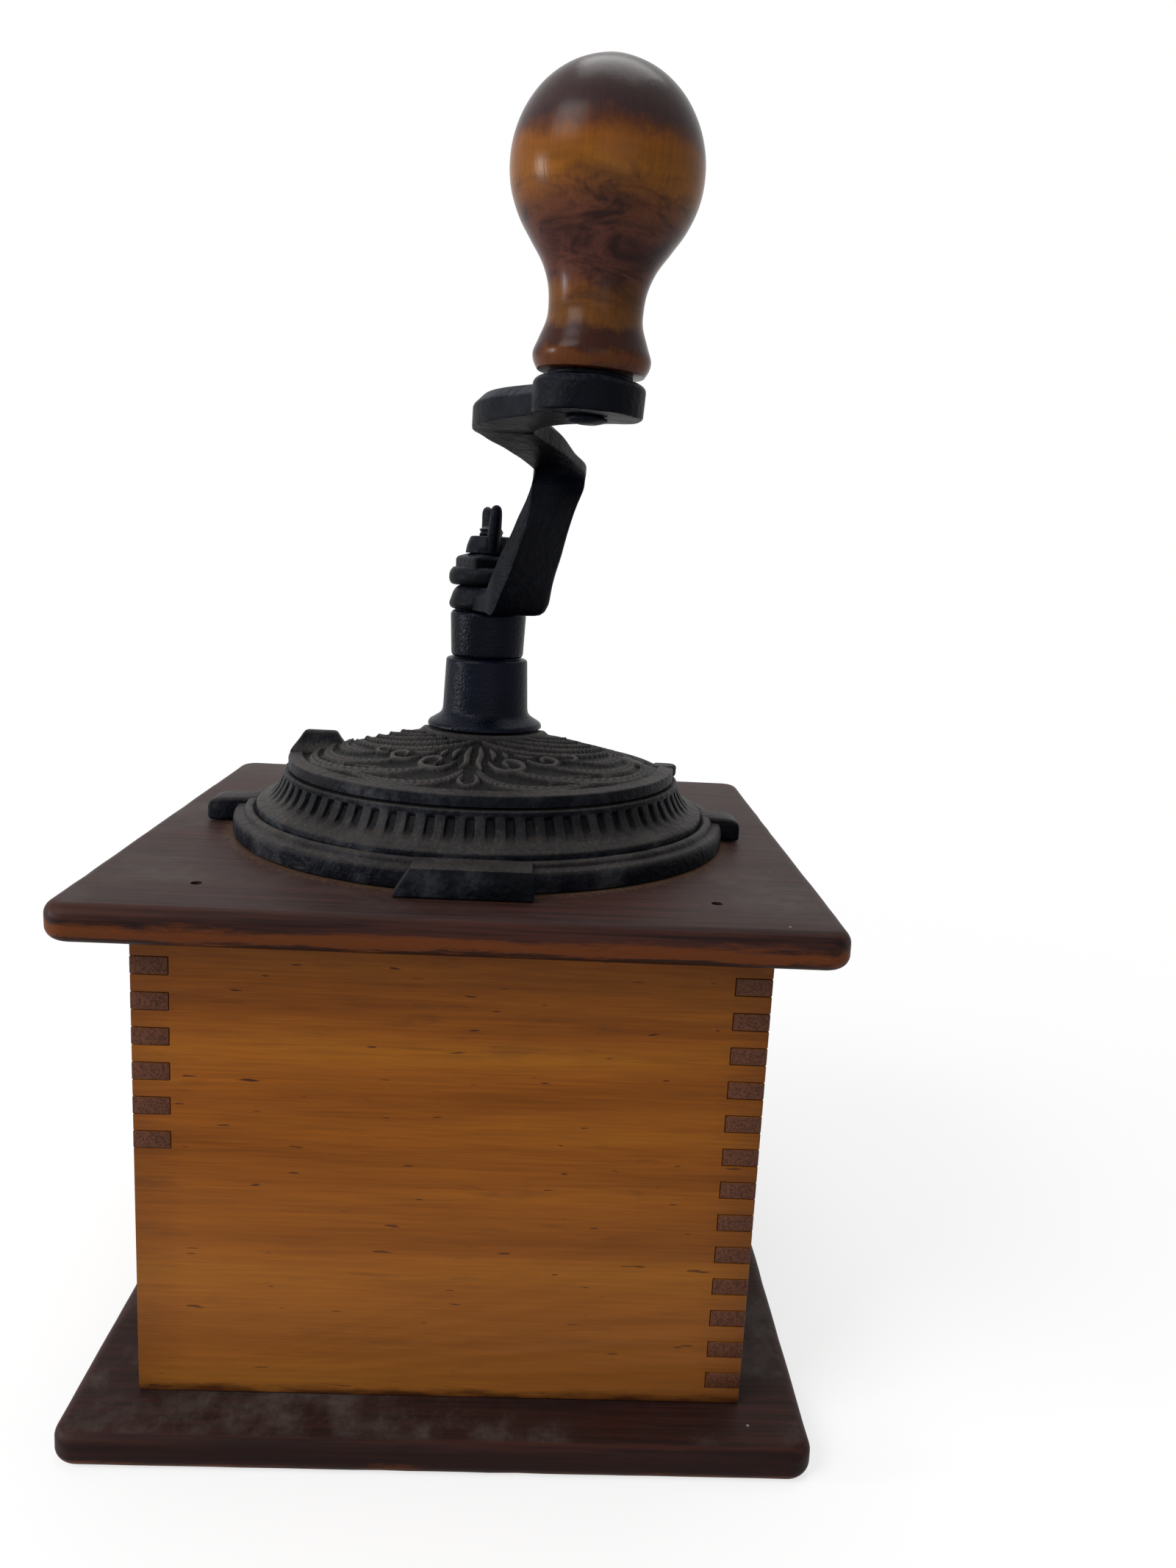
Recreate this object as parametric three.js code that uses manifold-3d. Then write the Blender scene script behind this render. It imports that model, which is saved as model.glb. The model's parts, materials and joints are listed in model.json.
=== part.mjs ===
// A box coffee grinder: a finger-jointed wooden case with a drawer, and a cast-iron hopper top
// with a half cover that swivels, conical burrs and a serpentine crank with a turned wooden knob.
// Millimetres, +Z up. The origin is the middle of the underside of the base board.
// The drawer faces -Y, and +X is the right-hand side of the case.
import * as THREE from 'three';
import { mergeVertices } from 'three/addons/utils/BufferGeometryUtils.js';
import Module from 'manifold-3d';

const wasm = await Module();
wasm.setup();

// Clearances
const seatGap = 0.3;            // between iron pieces that touch or turn in each other
const jointGap = 0.2;           // between glued or nailed wooden pieces
const drawerSideGap = 0.9;      // each side of the drawer
const drawerTopGap = 1;         // under the front panel
const cutOverrun = 1;           // how far a cutting tool passes the face it cuts

// Case
const caseSide = 164;
const wallThickness = 9.525;
const fingerWidth = 4.7625;
const fingerPairs = 13;         // down the back corners
const frontFingerPairs = 6;     // down the front corners, above the drawer
const topFingerExtra = 3;       // the top finger is this much wider than the others
const baseSide = 200;
const topSide = 197;
const boardThickness = 10;
const boardCornerRadius = 7;
const boardEdgeRadius = 3.6;

// Drawer
const drawerWall = 6;
const drawerBottomThickness = 4;
const drawerHeightShare = 0.86;     // height of the drawer's sides, of the front's height
const drawerBackClearance = 5;      // from the drawer's back to the case's back
const drawerKnobRadius = 9.5;
const drawerKnobFootRadius = 7;
const drawerKnobWaistRadius = 4.8;
const drawerKnobLength = 16.5;
const drawerKnobWidestShare = 0.66;     // of its length, from the foot
const drawerKnobWaistShare = 0.26;
const drawerScrewRadius = 2;
const drawerScrewHeadRadius = 4;
const drawerScrewHeadHeight = 2;
const bradRadius = 0.9;
const bradLength = 13;
const bradMouthShare = 5;       // the hole for a brad starts this many gaps outside the drawer
const bradHeightShares = [0.25, 0.75];  // of the side's height

// Nails and screws in the wood
const nailRadius = 1.2;
const nailLength = 26;
const nailSink = 2.5;           // head below the top of the board
const nailInset = 7;            // from the case's outer face
const nailCornerInset = 15;     // from the case's corner, along the side
const woodScrewRadius = 1.8;
const woodScrewLength = 24;
const woodScrewHeadRadius = 3.6;
const woodScrewHeadHeight = 2.4;
const woodScrewCornerInset = 24;    // from the case's corner, along the side
const headEdgeShare = 0.2;      // of a countersunk head's height, its straight edge

// Iron hopper ring, heights from the top board
const ironShift = 1.5;          // the iron sits a little towards the back of the case
const flangeRadius = 76;
const flangeHeight = 6;
const flangeEdgeRound = 1.4;
const beadRadius = 1.7;
const beadArcShare = 0.86;      // of a half turn
const coveFootRadius = 68;
const coveFootHeight = 9.6;
const coveTopRadius = 61.4;
const coveHollow = 1.3;         // how far the cove bellies in
const lipHeight = 18.9;
const lipEdgeHeight = 1.6;
const lipThickness = 3;
const lipInnerRadius = 54;
const ringWall = 3.4;
const skirtTopRadius = 60;
const skirtBottomRadius = 57.6;
const fluteCount = 72;
const fluteDepth = 1.2;
const fluteShares = [[0, 0], [0.5, 1]];     // along one flute, and its rise
const coveRoot = 0.3;           // how far the fluted cove runs into the flange and the lip
const lugRootShare = 0.9;       // of the ring's wall, how far a lug is rooted in it
const wideLugWidth = 36;
const wideLugReach = 81.6;
const wideLugHeight = 8;
const wideLugBevel = 4.5;
const sideLugWidth = 12;
const sideLugHeight = 7.4;
const sideLugRound = 3.2;       // of the outer end's top edge
const leftLugReach = 85;
const rightLugReach = 82;
const boltCircleRadius = 65.6;
const boltCount = 4;
const boltStartAngle = 45;
const boltRadius = 2.3;
const boltReach = 7;            // into the ring
const boltHeadRadius = 4.3;
const boltHeadHeight = 3;
const bossRadius = 3.8;
const bossHeight = 7.8;

// Hopper bowl below the board
const bowlLipRadius = 61.2;
const bowlLipThickness = 3;
const bowlRadius = 57;
const bowlWall = 3;
const bowlFunnelDepth = 32;
const bowlMouthRadius = 21;
const housingRadius = 29;
const housingWall = 3.2;
const housingBottomDepth = 61;
const strapEarRadius = 5;
const strapEarReach = 32;
const strapEarHeight = 14;

// Burrs
const burrTopDepth = 34;
const burrHeight = 24;
const innerBurrTopRadius = 9;
const innerBurrBottomRadius = 19.6;
const innerBurrTeeth = 12;
const outerBurrTeeth = 18;
const burrToothDepth = 1.5;
const burrGap = 1.5;            // tooth tip to tooth tip at the bottom, coarsest setting
const burrThroatGap = 3;        // the same halfway up
const burrMouthRadius = 17.6;
const burrTwistShare = 0.11;    // of a turn, over the burr's height
const burrThroatShare = 0.5;    // of the burr's height, down from its top
const burrPinHeight = -53;
const burrPinReachShare = 0.55;
const burrRowShares = [0, 0.33, 0.67, 1];
const burrToothShares = [[0, 0], [0.55, 1], [0.8, 0.9]];     // along one tooth, and its rise

// Lower strap that steadies the spindle
const strapThickness = 4;
const strapWidth = 11;
const strapBossRadius = 9;
const strapScrewRadius = 2;
const strapScrewHeadRadius = 3.6;
const strapScrewHeadHeight = 2.2;
const strapScrewLength = 14;

// Cover halves, heights from the top board
const coverRadius = 59.8;
const coverThickness = 2;
const coverRimHeight = 3.5;
const coverHubHeight = 32.4;
const coverShoulderRadius = 18.5;
const coverMidRadius = 30;
const coverMidHeight = 29.9;
const coverRimWidth = 2.2;
const hubRadius = 13.8;
const bridgeBarHalfWidth = 4;
const bridgeRibHalfWidth = 2.6;
const bridgeRibDepth = 7;
const coverStartAngle = -90;        // degrees, the tab end
const coverEndAngle = 86;           // degrees, the end at the stop
const tabInnerRadius = 43.3;
const tabOuterRadius = 57.6;
const tabTopHeight = 29.3;
const tabTopInset = 2.2;
const tabThickness = 3;
const stopAngle = 92;               // degrees, middle of the stop ear
const stopReach = 61.6;
const stopWidth = 7.5;
const stopHeight = 3.6;
const bridgeScrewRadius = 1.1;
const bridgeScrewHeadRadius = 1.7;
const bridgeScrewHeadHeight = 1;
const bridgeScrewLength = 8;
const bridgeScrewCircle = 55.6;
const bridgeScrewAngles = [150, 210];

// Spindle stack, heights from the top board
const spindleRadius = 5.5;
const postRadius = 8.8;
const collarFlareRadius = 17.8;
const collarFlareHeight = 4.6;
const collarBottomRadius = 13.2;
const collarTopRadius = 12.6;
const collarTopHeight = 54.3;
const collarRound = 1.9;
const flareEdgeShare = 0.25;    // of the flare's height, its upright edge
const crankCollarBottomRadius = 10.5;
const crankCollarTopRadius = 11.6;
const crankCollarHeight = 14.1;
const squareSide = 7.6;
const squareStartHeight = 62;
const squareEndHeight = 73.7;
const threadRadius = 3.7;
const spindleTopHeight = 94;
const spindleBottomDepth = 66.6;
const burrPinRadius = 1.6;
const nutFlangeRadius = 12.4;
const nutFlangeHeight = 5.4;
const nutSquareSide = 16.6;
const nutCornerRadius = 2;
const nutHeight = 9.6;
const nutTurn = -20;            // degrees at rest
const wingHubBottomRadius = 8.2;
const wingHubTopRadius = 6.4;
const wingHubHeight = 5;
const wingReach = 12.5;
const wingHeight = 14.2;
const wingThickness = 2.9;
const wingTurn = 8;             // degrees at rest
const wingRootShare = 0.25;     // of the hub's height, the foot of a wing
const wingShares = [            // out from the axis and up from the hub's foot, of reach and height
  [0.6, 0.1], [0.9, 0.42], [1, 0.75], [0.94, 0.95],
  [0.8, 1], [0.66, 0.9], [0.5, 0.62], [0.38, 0.4],
];

// Crank, heights from the top board
const crankTurn = 13;           // degrees at rest, from +X
const crankThrow = 110;
const crankHubRadius = 12.3;
const crankHubThickness = 7;
const crankSway = 12;           // how far the arm swings to each side of the straight line
const armWidth = 15;
const armThickness = 8.2;
const armChamfer = 2.6;
const armStationShares = [      // along the throw, rise of foot, rise of crown, width, sway
  [0.03, 0, 0, 1.1, 0.05], [0.12, 0, 0, 1.15, 0.22], [0.16, 0, 0.05, 1.22, 0.34],
  [0.2, 0, 0.16, 1.25, 0.45], [0.232, 0.15, 0.31, 1.2, 0.56], [0.269, 0.36, 0.49, 1.12, 0.73],
  [0.318, 0.675, 0.7, 1, 0.95], [0.35, 0.79, 0.785, 0.95, 0.96], [0.391, 0.84, 0.83, 0.93, 0.86],
  [0.459, 0.88, 0.87, 0.97, 0.47], [0.545, 0.92, 0.93, 1, -0.07], [0.618, 0.955, 0.965, 1, -0.62],
  [0.682, 0.977, 0.985, 1, -0.95], [0.755, 0.99, 1, 1, -0.92], [0.836, 1, 1, 1.04, -0.62],
  [0.918, 1, 1, 1.12, -0.25], [1, 1, 1, 1.2, 0],
];
const padRadius = 12.1;
const padThickness = 7.3;
const padBottomHeight = 116.4;
const padLean = 2.2;            // degrees, the knob's pin leans this much
const knobPinRadius = 3.5;
const knobPinHeadRadius = 4.6;
const knobPinHeadHeight = 1.3;
const knobPinLength = 46;
const washerRadius = 9.4;
const washerThickness = 0.8;

// Knob, from its own underside
const knobHeight = 61.8;
const knobRadius = 20.3;
const knobShares = [             // out from the axis and up from the foot, of radius and height
  [0.5, 0], [0.58, 0.008], [0.625, 0.05], [0.575, 0.1],
  [0.51, 0.16], [0.497, 0.21], [0.52, 0.28], [0.6, 0.35],
  [0.74, 0.42], [0.875, 0.49], [0.97, 0.57], [1, 0.65], [0.975, 0.73], [0.89, 0.81], [0.74, 0.885],
  [0.53, 0.945], [0.27, 0.987], [0.1, 1],
];

// How finely round things are faceted
const roundSteps = 24;
const bigRoundSteps = 56;
const outlineSteps = 6;
const boltHeadSides = 4;
const domeSteps = 48;
const beadSteps = 3;
const coveSteps = 2;
const smallRoundSteps = 12;
const bowlSteps = 32;
const boreSteps = 12;
const postSteps = 18;
const armSteps = 32;
const wingSteps = 9;
const knobSteps = 14;
const pullSteps = 12;
const screwSteps = 8;
const nailSteps = 8;
const bradSteps = 6;
const cornerSteps = 3;
const edgeSteps = 2;

// Heights worked out from the sizes above
const caseHeight = (2 * fingerPairs + 1) * fingerWidth + topFingerExtra;
const boardTop = boardThickness + caseHeight + boardThickness;
const fingerTop = caseHeight - topFingerExtra;
const frontPanelBottom = fingerTop - 2 * frontFingerPairs * fingerWidth;
const drawerFrontHeight = frontPanelBottom - jointGap - drawerTopGap;
const drawerWidth = caseSide - 2 * wallThickness - 2 * drawerSideGap;
const drawerDepth = caseSide - wallThickness - drawerBackClearance;

// Materials
const honeyPine = new THREE.MeshStandardMaterial({ color: 0xb06a24, roughness: 0.55 });
const stainedBoard = new THREE.MeshStandardMaterial({ color: 0x43211a, roughness: 0.7 });
const drawerWood = new THREE.MeshStandardMaterial({ color: 0xc8a06a, roughness: 0.8 });
const knobWood = new THREE.MeshStandardMaterial({ color: 0x7a3d16, roughness: 0.3 });
const castIron = new THREE.MeshStandardMaterial({ color: 0x26262a, roughness: 0.75, metalness: 0.6 });
const darkSteel = new THREE.MeshStandardMaterial({ color: 0x4a4846, roughness: 0.5, metalness: 0.9 });

// Solids: a closed geometry becomes a solid that can be joined and cut, and back
function toSolid(geometry) {
  const bare = geometry.clone();
  bare.deleteAttribute('normal');
  bare.deleteAttribute('uv');
  const merged = mergeVertices(bare);
  const index = merged.index.array;
  const triVerts = [];
  for (let i = 0; i < index.length; i += 3) {
    const [a, b, c] = [index[i], index[i + 1], index[i + 2]];
    if (a !== b && b !== c && c !== a) triVerts.push(a, b, c);
  }
  return new wasm.Manifold(new wasm.Mesh({
    numProp: 3,
    vertProperties: new Float32Array(merged.attributes.position.array),
    triVerts: new Uint32Array(triVerts),
  }));
}

function toGeometry(solid) {
  const mesh = solid.getMesh();
  const geometry = new THREE.BufferGeometry();
  geometry.setAttribute('position', new THREE.BufferAttribute(mesh.vertProperties, mesh.numProp));
  geometry.setIndex(new THREE.BufferAttribute(mesh.triVerts, 1));
  geometry.computeVertexNormals();
  return geometry;
}

function join(...geometries) {
  return toGeometry(geometries.map(toSolid).reduce((whole, next) => whole.add(next)));
}

function cut(geometry, ...tools) {
  return toGeometry(tools.map(toSolid).reduce((whole, tool) => whole.subtract(tool), toSolid(geometry)));
}

function common(geometry, other) {
  return toGeometry(toSolid(geometry).intersect(toSolid(other)));
}

// Basic forms
function revolve(outline, steps = roundSteps) {
  const rising = THREE.ShapeUtils.isClockWise(outline) ? outline.toReversed() : outline;
  return new THREE.LatheGeometry(rising, steps).rotateX(Math.PI / 2);
}

function ringOf(outline, steps = roundSteps) {
  return revolve([...outline, outline[0]], steps);
}

function rod(radius, low, high, steps = smallRoundSteps) {
  return new THREE.CylinderGeometry(radius, radius, high - low, steps)
    .rotateX(Math.PI / 2)
    .translate(0, 0, (low + high) / 2);
}

function block(xLow, xHigh, yLow, yHigh, zLow, zHigh) {
  return new THREE.BoxGeometry(xHigh - xLow, yHigh - yLow, zHigh - zLow)
    .translate((xLow + xHigh) / 2, (yLow + yHigh) / 2, (zLow + zHigh) / 2);
}

function slab(shape, low, high, curveSegments = outlineSteps) {
  const depth = high - low;
  return new THREE.ExtrudeGeometry(shape, { depth, bevelEnabled: false, curveSegments }).translate(0, 0, low);
}

// A solid round form whose radius runs in teeth, which twist by a share of a turn over its height
function toothedForm(heights, radii, { teeth, depth, shares, twist = 0 }) {
  const steps = teeth * shares.length;
  const positions = [];
  const index = [];
  const height = heights.at(-1) - heights[0];
  heights.forEach((z, row) => {
    const start = twist * (z - heights[0]) / height;
    for (let tooth = 0; tooth < teeth; tooth++) {
      for (const [along, rise] of shares) {
        const angle = 2 * Math.PI * ((tooth + along) / teeth + start);
        const r = radii[row] - depth * (1 - rise);
        positions.push(r * Math.cos(angle), r * Math.sin(angle), z);
      }
    }
  });
  positions.push(0, 0, heights[0], 0, 0, heights.at(-1));
  const last = (heights.length - 1) * steps;
  const bottom = heights.length * steps;
  for (let i = 0; i < steps; i++) {
    const next = (i + 1) % steps;
    for (let row = 0; row < last; row += steps) {
      index.push(row + i, row + next, row + next + steps);
      index.push(row + i, row + next + steps, row + i + steps);
    }
    index.push(bottom, next, i, bottom + 1, last + i, last + next);
  }
  return meshOf(positions, index);
}

// A closed skin over rings of the same number of points
function loft(rings) {
  const count = rings[0].length;
  const index = [];
  const last = (rings.length - 1) * count;
  for (let ring = 0; ring < last; ring += count) {
    for (let i = 0; i < count; i++) {
      const a = ring + i;
      const b = ring + (i + 1) % count;
      index.push(a, b, b + count, a, b + count, a + count);
    }
  }
  for (let i = 1; i + 1 < count; i++) {
    index.push(0, i + 1, i, last, last + i, last + i + 1);
  }
  return meshOf(rings.flat().flatMap((point) => point.toArray()), index);
}

function meshOf(positions, index) {
  const geometry = new THREE.BufferGeometry();
  geometry.setAttribute('position', new THREE.Float32BufferAttribute(positions, 3));
  geometry.setIndex(index);
  return geometry;
}

// An outline in length and height, stood upright, with its outer face towards -Y
function upright(shape, outerFace, thickness) {
  return slab(shape, 0, thickness).rotateX(Math.PI / 2).translate(0, thickness - outerFace, 0);
}

function outlineOf(points) {
  return new THREE.Shape(points.map(([x, y]) => new THREE.Vector2(x, y)));
}

function profileOf(points) {
  return points.map(([r, z]) => new THREE.Vector2(r, z));
}

function turned(geometry, degrees) {
  return geometry.rotateZ(THREE.MathUtils.degToRad(degrees));
}

function around(count, start, make) {
  return Array.from({ length: count }, (_, i) => turned(make(i), start + i * 360 / count));
}

function atPlaces(places, make) {
  return places.map(([x, y]) => make().translate(x, y, 0));
}

function addSet(group, name, geometries, material) {
  geometries.forEach((geometry, i) => addPiece(group, `${name}_${i + 1}`, geometry, material));
}

function addPiece(group, name, geometry, material) {
  const mesh = new THREE.Mesh(geometry, material);
  mesh.name = name;
  group.add(mesh);
  return mesh;
}

// Wooden case

// Low and high edge of each dark finger, counted down from the top
function fingerRows(count, grow) {
  return Array.from({ length: count }, (_, i) => {
    const high = fingerTop - (2 * i + 1) * fingerWidth;
    return [high - fingerWidth - grow, high + grow];
  });
}

// One end of a panel, upwards: it stands at x, and at rowX in each row
function combEdge(x, rowX, rows, low, high) {
  const points = [[x, low]];
  for (const [rowLow, rowHigh] of [...rows].reverse()) {
    const foot = Math.max(rowLow, low);
    points.push([x, foot], [rowX, foot], [rowX, rowHigh], [x, rowHigh]);
  }
  points.push([x, high]);
  const same = (a, b) => a[0] === b[0] && a[1] === b[1];
  return points.filter((point, i) => i === 0 || !same(point, points[i - 1]));
}

function panel(rightEdge, leftEdge) {
  const mirrored = leftEdge.map(([x, z]) => [-x, z]).reverse();
  return upright(outlineOf([...rightEdge, ...mirrored]), caseSide / 2, wallThickness);
}

const inset = caseSide / 2 - wallThickness - jointGap;

function fingeredPanel(pairs, low) {
  const edge = combEdge(inset, caseSide / 2, fingerRows(pairs, -jointGap / 2), low, caseHeight - jointGap);
  return panel(edge, edge);
}

function notchedPanel(rightPairs, leftPairs) {
  const top = caseHeight - jointGap;
  const right = combEdge(caseSide / 2, inset, fingerRows(rightPairs, jointGap / 2), jointGap, top);
  const left = combEdge(caseSide / 2, inset, fingerRows(leftPairs, jointGap / 2), jointGap, top);
  return panel(right, left);
}

function roundedBoard(side) {
  const half = side / 2;
  const corner = half - boardCornerRadius;
  const shape = new THREE.Shape();
  shape.absarc(corner, corner, boardCornerRadius, 0, Math.PI / 2);
  shape.absarc(-corner, corner, boardCornerRadius, Math.PI / 2, Math.PI);
  shape.absarc(-corner, -corner, boardCornerRadius, Math.PI, 1.5 * Math.PI);
  shape.absarc(corner, -corner, boardCornerRadius, 1.5 * Math.PI, 2 * Math.PI);
  return new THREE.ExtrudeGeometry(shape, {
    depth: boardThickness - 2 * boardEdgeRadius,
    bevelThickness: boardEdgeRadius,
    bevelSize: boardEdgeRadius,
    bevelOffset: -boardEdgeRadius,
    bevelSegments: edgeSteps,
    curveSegments: cornerSteps,
  }).translate(0, 0, boardEdgeRadius);
}

// Four places, so far in from the sides and from the corners of the case
function casePlaces(sideInset, cornerInset) {
  const x = caseSide / 2 - sideInset;
  const y = caseSide / 2 - cornerInset;
  return [[x, y], [x, -y], [-x, y], [-x, -y]];
}

const nailPlaces = casePlaces(nailInset, nailCornerInset);
const screwPlaces = casePlaces(wallThickness / 2, woodScrewCornerInset);

// A countersunk screw pointing up from its head, or with grow the hole for it
function countersunk(radius, headRadius, headHeight, length, grow = 0) {
  const head = headRadius + grow;
  const shank = radius + grow;
  return revolve(profileOf([
    [0, -grow], [head, -grow], [head, headHeight * headEdgeShare], [shank, headHeight + grow],
    [shank, length + grow], [0, length + grow],
  ]), screwSteps);
}

function woodScrew(grow) {
  const screw = countersunk(
    woodScrewRadius, woodScrewHeadRadius, woodScrewHeadHeight, woodScrewLength, grow);
  return screw.translate(0, 0, seatGap);
}

function boltHole() {
  return rod(boltRadius + seatGap, -cutOverrun, boardThickness + cutOverrun)
    .translate(boltCircleRadius, 0, 0);
}

function buildCase(root) {
  const nailTop = boardTop - nailSink;
  const nailBottom = nailTop - nailLength;
  const nailHole = () => rod(nailRadius + seatGap, nailBottom - seatGap, boardTop + cutOverrun, nailSteps);
  const nailHoles = atPlaces(nailPlaces, nailHole);
  const screwHoles = atPlaces(screwPlaces, () => woodScrew(seatGap));

  addPiece(root, 'base_board', cut(roundedBoard(baseSide), ...screwHoles), stainedBoard);

  const topBoardBottom = boardTop - boardThickness;
  const ironHoles = [
    rod(bowlRadius + seatGap, -cutOverrun, boardThickness + cutOverrun, bowlSteps),
    ...around(boltCount, boltStartAngle, boltHole),
  ].map((hole) => hole.translate(0, ironShift, topBoardBottom));
  const blank = roundedBoard(topSide).translate(0, 0, topBoardBottom);
  addPiece(root, 'top_board', cut(blank, ...ironHoles, ...nailHoles), stainedBoard);

  const walls = [
    ['front_panel', fingeredPanel(frontFingerPairs, frontPanelBottom), 0],
    ['right_side_panel', notchedPanel(fingerPairs, frontFingerPairs), 90],
    ['back_panel', fingeredPanel(fingerPairs, jointGap), 180],
    ['left_side_panel', notchedPanel(frontFingerPairs, fingerPairs), -90],
  ];
  for (const [name, geometry, degrees] of walls) {
    const placed = turned(geometry, degrees).translate(0, 0, boardThickness);
    const drilled = name.includes('side') ? cut(placed, ...nailHoles, ...screwHoles) : placed;
    addPiece(root, name, drilled, honeyPine);
  }

  const nail = () => rod(nailRadius, nailBottom, nailTop, nailSteps);
  addSet(root, 'top_board_nail', atPlaces(nailPlaces, nail), darkSteel);
  addSet(root, 'base_board_screw', atPlaces(screwPlaces, () => woodScrew(0)), darkSteel);
}

// Drawer, from the middle of the foot of its front's outer face, with +Y into the case
function buildDrawer(root) {
  const drawer = new THREE.Group();
  drawer.position.set(0, -caseSide / 2, boardThickness + jointGap);
  root.add(drawer);

  const half = drawerWidth / 2;
  const rebate = wallThickness - drawerWall;
  const plankFront = rebate + jointGap;
  const plankBottom = drawerBottomThickness + jointGap;
  const plankTop = drawerFrontHeight * drawerHeightShare;
  const knobHeightOnFront = drawerFrontHeight / 2;

  const brad = (side, height, grow) =>
    rod(bradRadius + grow, -grow * bradMouthShare, bradLength + grow, bradSteps)
      .rotateY(-side * Math.PI / 2)
      .translate(side * (half - jointGap), plankFront + bradRadius * 2, height);
  const bradHeights = bradHeightShares.map((share) => plankTop * share);
  const bradPlaces = [-1, 1].flatMap((side) => bradHeights.map((height) => [side, height]));
  const bradHoles = bradPlaces.map(([side, height]) => brad(side, height, jointGap));

  // The front is rebated at both ends for the sides and along its foot for the bottom
  const behind = wallThickness + cutOverrun;
  const endRebate = block(half - drawerWall - jointGap, half + cutOverrun, rebate, behind,
    -cutOverrun, drawerFrontHeight + cutOverrun);
  const front = cut(
    block(-half, half, 0, wallThickness, 0, drawerFrontHeight),
    endRebate,
    turned(endRebate.clone().translate(0, -rebate - behind, 0), 180),
    block(-half - cutOverrun, half + cutOverrun, rebate, behind, -cutOverrun, plankBottom),
    rod(drawerScrewRadius + seatGap, -behind, cutOverrun).rotateX(Math.PI / 2)
      .translate(0, 0, knobHeightOnFront),
    ...bradHoles,
  );
  addPiece(drawer, 'drawer_front', front, honeyPine);

  const side = block(half - drawerWall, half, plankFront, drawerDepth, plankBottom, plankTop);
  addPiece(drawer, 'drawer_right_side', cut(side, ...bradHoles), drawerWood);
  addPiece(drawer, 'drawer_left_side',
    cut(side.clone().translate(drawerWall - 2 * half, 0, 0), ...bradHoles), drawerWood);
  const backHalf = half - drawerWall - jointGap;
  addPiece(drawer, 'drawer_back',
    block(-backHalf, backHalf, drawerDepth - drawerWall, drawerDepth, plankBottom, plankTop), drawerWood);
  addPiece(drawer, 'drawer_bottom',
    block(-half, half, plankFront, drawerDepth, 0, drawerBottomThickness), drawerWood);
  addSet(drawer, 'drawer_brad', bradPlaces.map(([end, height]) => brad(end, height, 0)), darkSteel);

  // Turned pull, its foot against the front
  const screwEnd = drawerKnobLength / 2;
  const curve = new THREE.SplineCurve(profileOf([
    [drawerKnobFootRadius, 0], [drawerKnobWaistRadius, drawerKnobLength * drawerKnobWaistShare],
    [drawerKnobRadius, drawerKnobLength * drawerKnobWidestShare],
    [drawerKnobWaistRadius, drawerKnobLength],
  ]));
  const pullOutline = [
    new THREE.Vector2(0, 0), ...curve.getPoints(pullSteps), new THREE.Vector2(0, drawerKnobLength),
  ];
  const pullBore = rod(drawerScrewRadius + seatGap, -cutOverrun, screwEnd);
  const pull = cut(revolve(pullOutline, postSteps), pullBore).rotateX(Math.PI / 2);
  addPiece(drawer, 'drawer_knob', pull.translate(0, -seatGap, knobHeightOnFront), knobWood);

  const headTop = -wallThickness - seatGap;
  const screw = join(
    rod(drawerScrewRadius, headTop - drawerScrewHeadHeight / 2, screwEnd - seatGap),
    rod(drawerScrewHeadRadius, headTop - drawerScrewHeadHeight, headTop),
  ).rotateX(Math.PI / 2);
  addPiece(drawer, 'drawer_knob_screw', screw.translate(0, 0, knobHeightOnFront), darkSteel);
}

// Iron hopper ring, with its origin on the top board at the spindle's axis

function ringBody() {
  const beadMiddle = flangeRadius - flangeEdgeRound - 2 * beadRadius;
  const bead = new THREE.EllipseCurve(
    beadMiddle, flangeHeight, beadRadius, beadRadius, 0, Math.PI * beadArcShare);
  return revolve([
    ...profileOf([
      [0, seatGap], [flangeRadius, seatGap], [flangeRadius, flangeHeight - flangeEdgeRound],
      [flangeRadius - flangeEdgeRound, flangeHeight],
    ]),
    ...bead.getPoints(beadSteps),
    ...profileOf([
      [coveFootRadius, coveFootHeight], [skirtTopRadius, coveFootHeight],
      [skirtTopRadius, lipHeight - lipEdgeHeight],
      [coveTopRadius, lipHeight - lipEdgeHeight], [coveTopRadius, lipHeight], [0, lipHeight],
    ]),
  ], bigRoundSteps);
}

// The cove between the flange and the lip, hollowed and fluted all round
function flutedCove() {
  const cove = new THREE.QuadraticBezierCurve(
    new THREE.Vector2(coveFootRadius - coveRoot, coveFootHeight - coveRoot),
    new THREE.Vector2(coveTopRadius + coveHollow, coveFootHeight + coveHollow),
    new THREE.Vector2(coveTopRadius - coveRoot / 2, lipHeight - lipEdgeHeight + coveRoot),
  );
  const points = cove.getPoints(coveSteps);
  return toothedForm(points.map((point) => point.y), points.map((point) => point.x),
    { teeth: fluteCount, depth: fluteDepth, shares: fluteShares });
}

// The room under the ring: the mouth, the seat of the bowl's lip and the hollow of the flange
function ringHollow() {
  const lipBottom = lipHeight - lipThickness;
  const skirtBottom = bowlLipThickness + 2 * seatGap;
  const insideFlange = flangeRadius - ringWall;
  return revolve(profileOf([
    [0, 0], [insideFlange, 0], [insideFlange, flangeHeight - ringWall],
    [coveFootRadius - ringWall, coveFootHeight - ringWall],
    [lipInnerRadius + ringWall, lipBottom], [skirtBottomRadius + ringWall, skirtBottom],
    [skirtBottomRadius, skirtBottom], [lipInnerRadius, lipBottom],
    [lipInnerRadius, lipHeight + cutOverrun], [0, lipHeight + cutOverrun],
  ]), bowlSteps);
}

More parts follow.
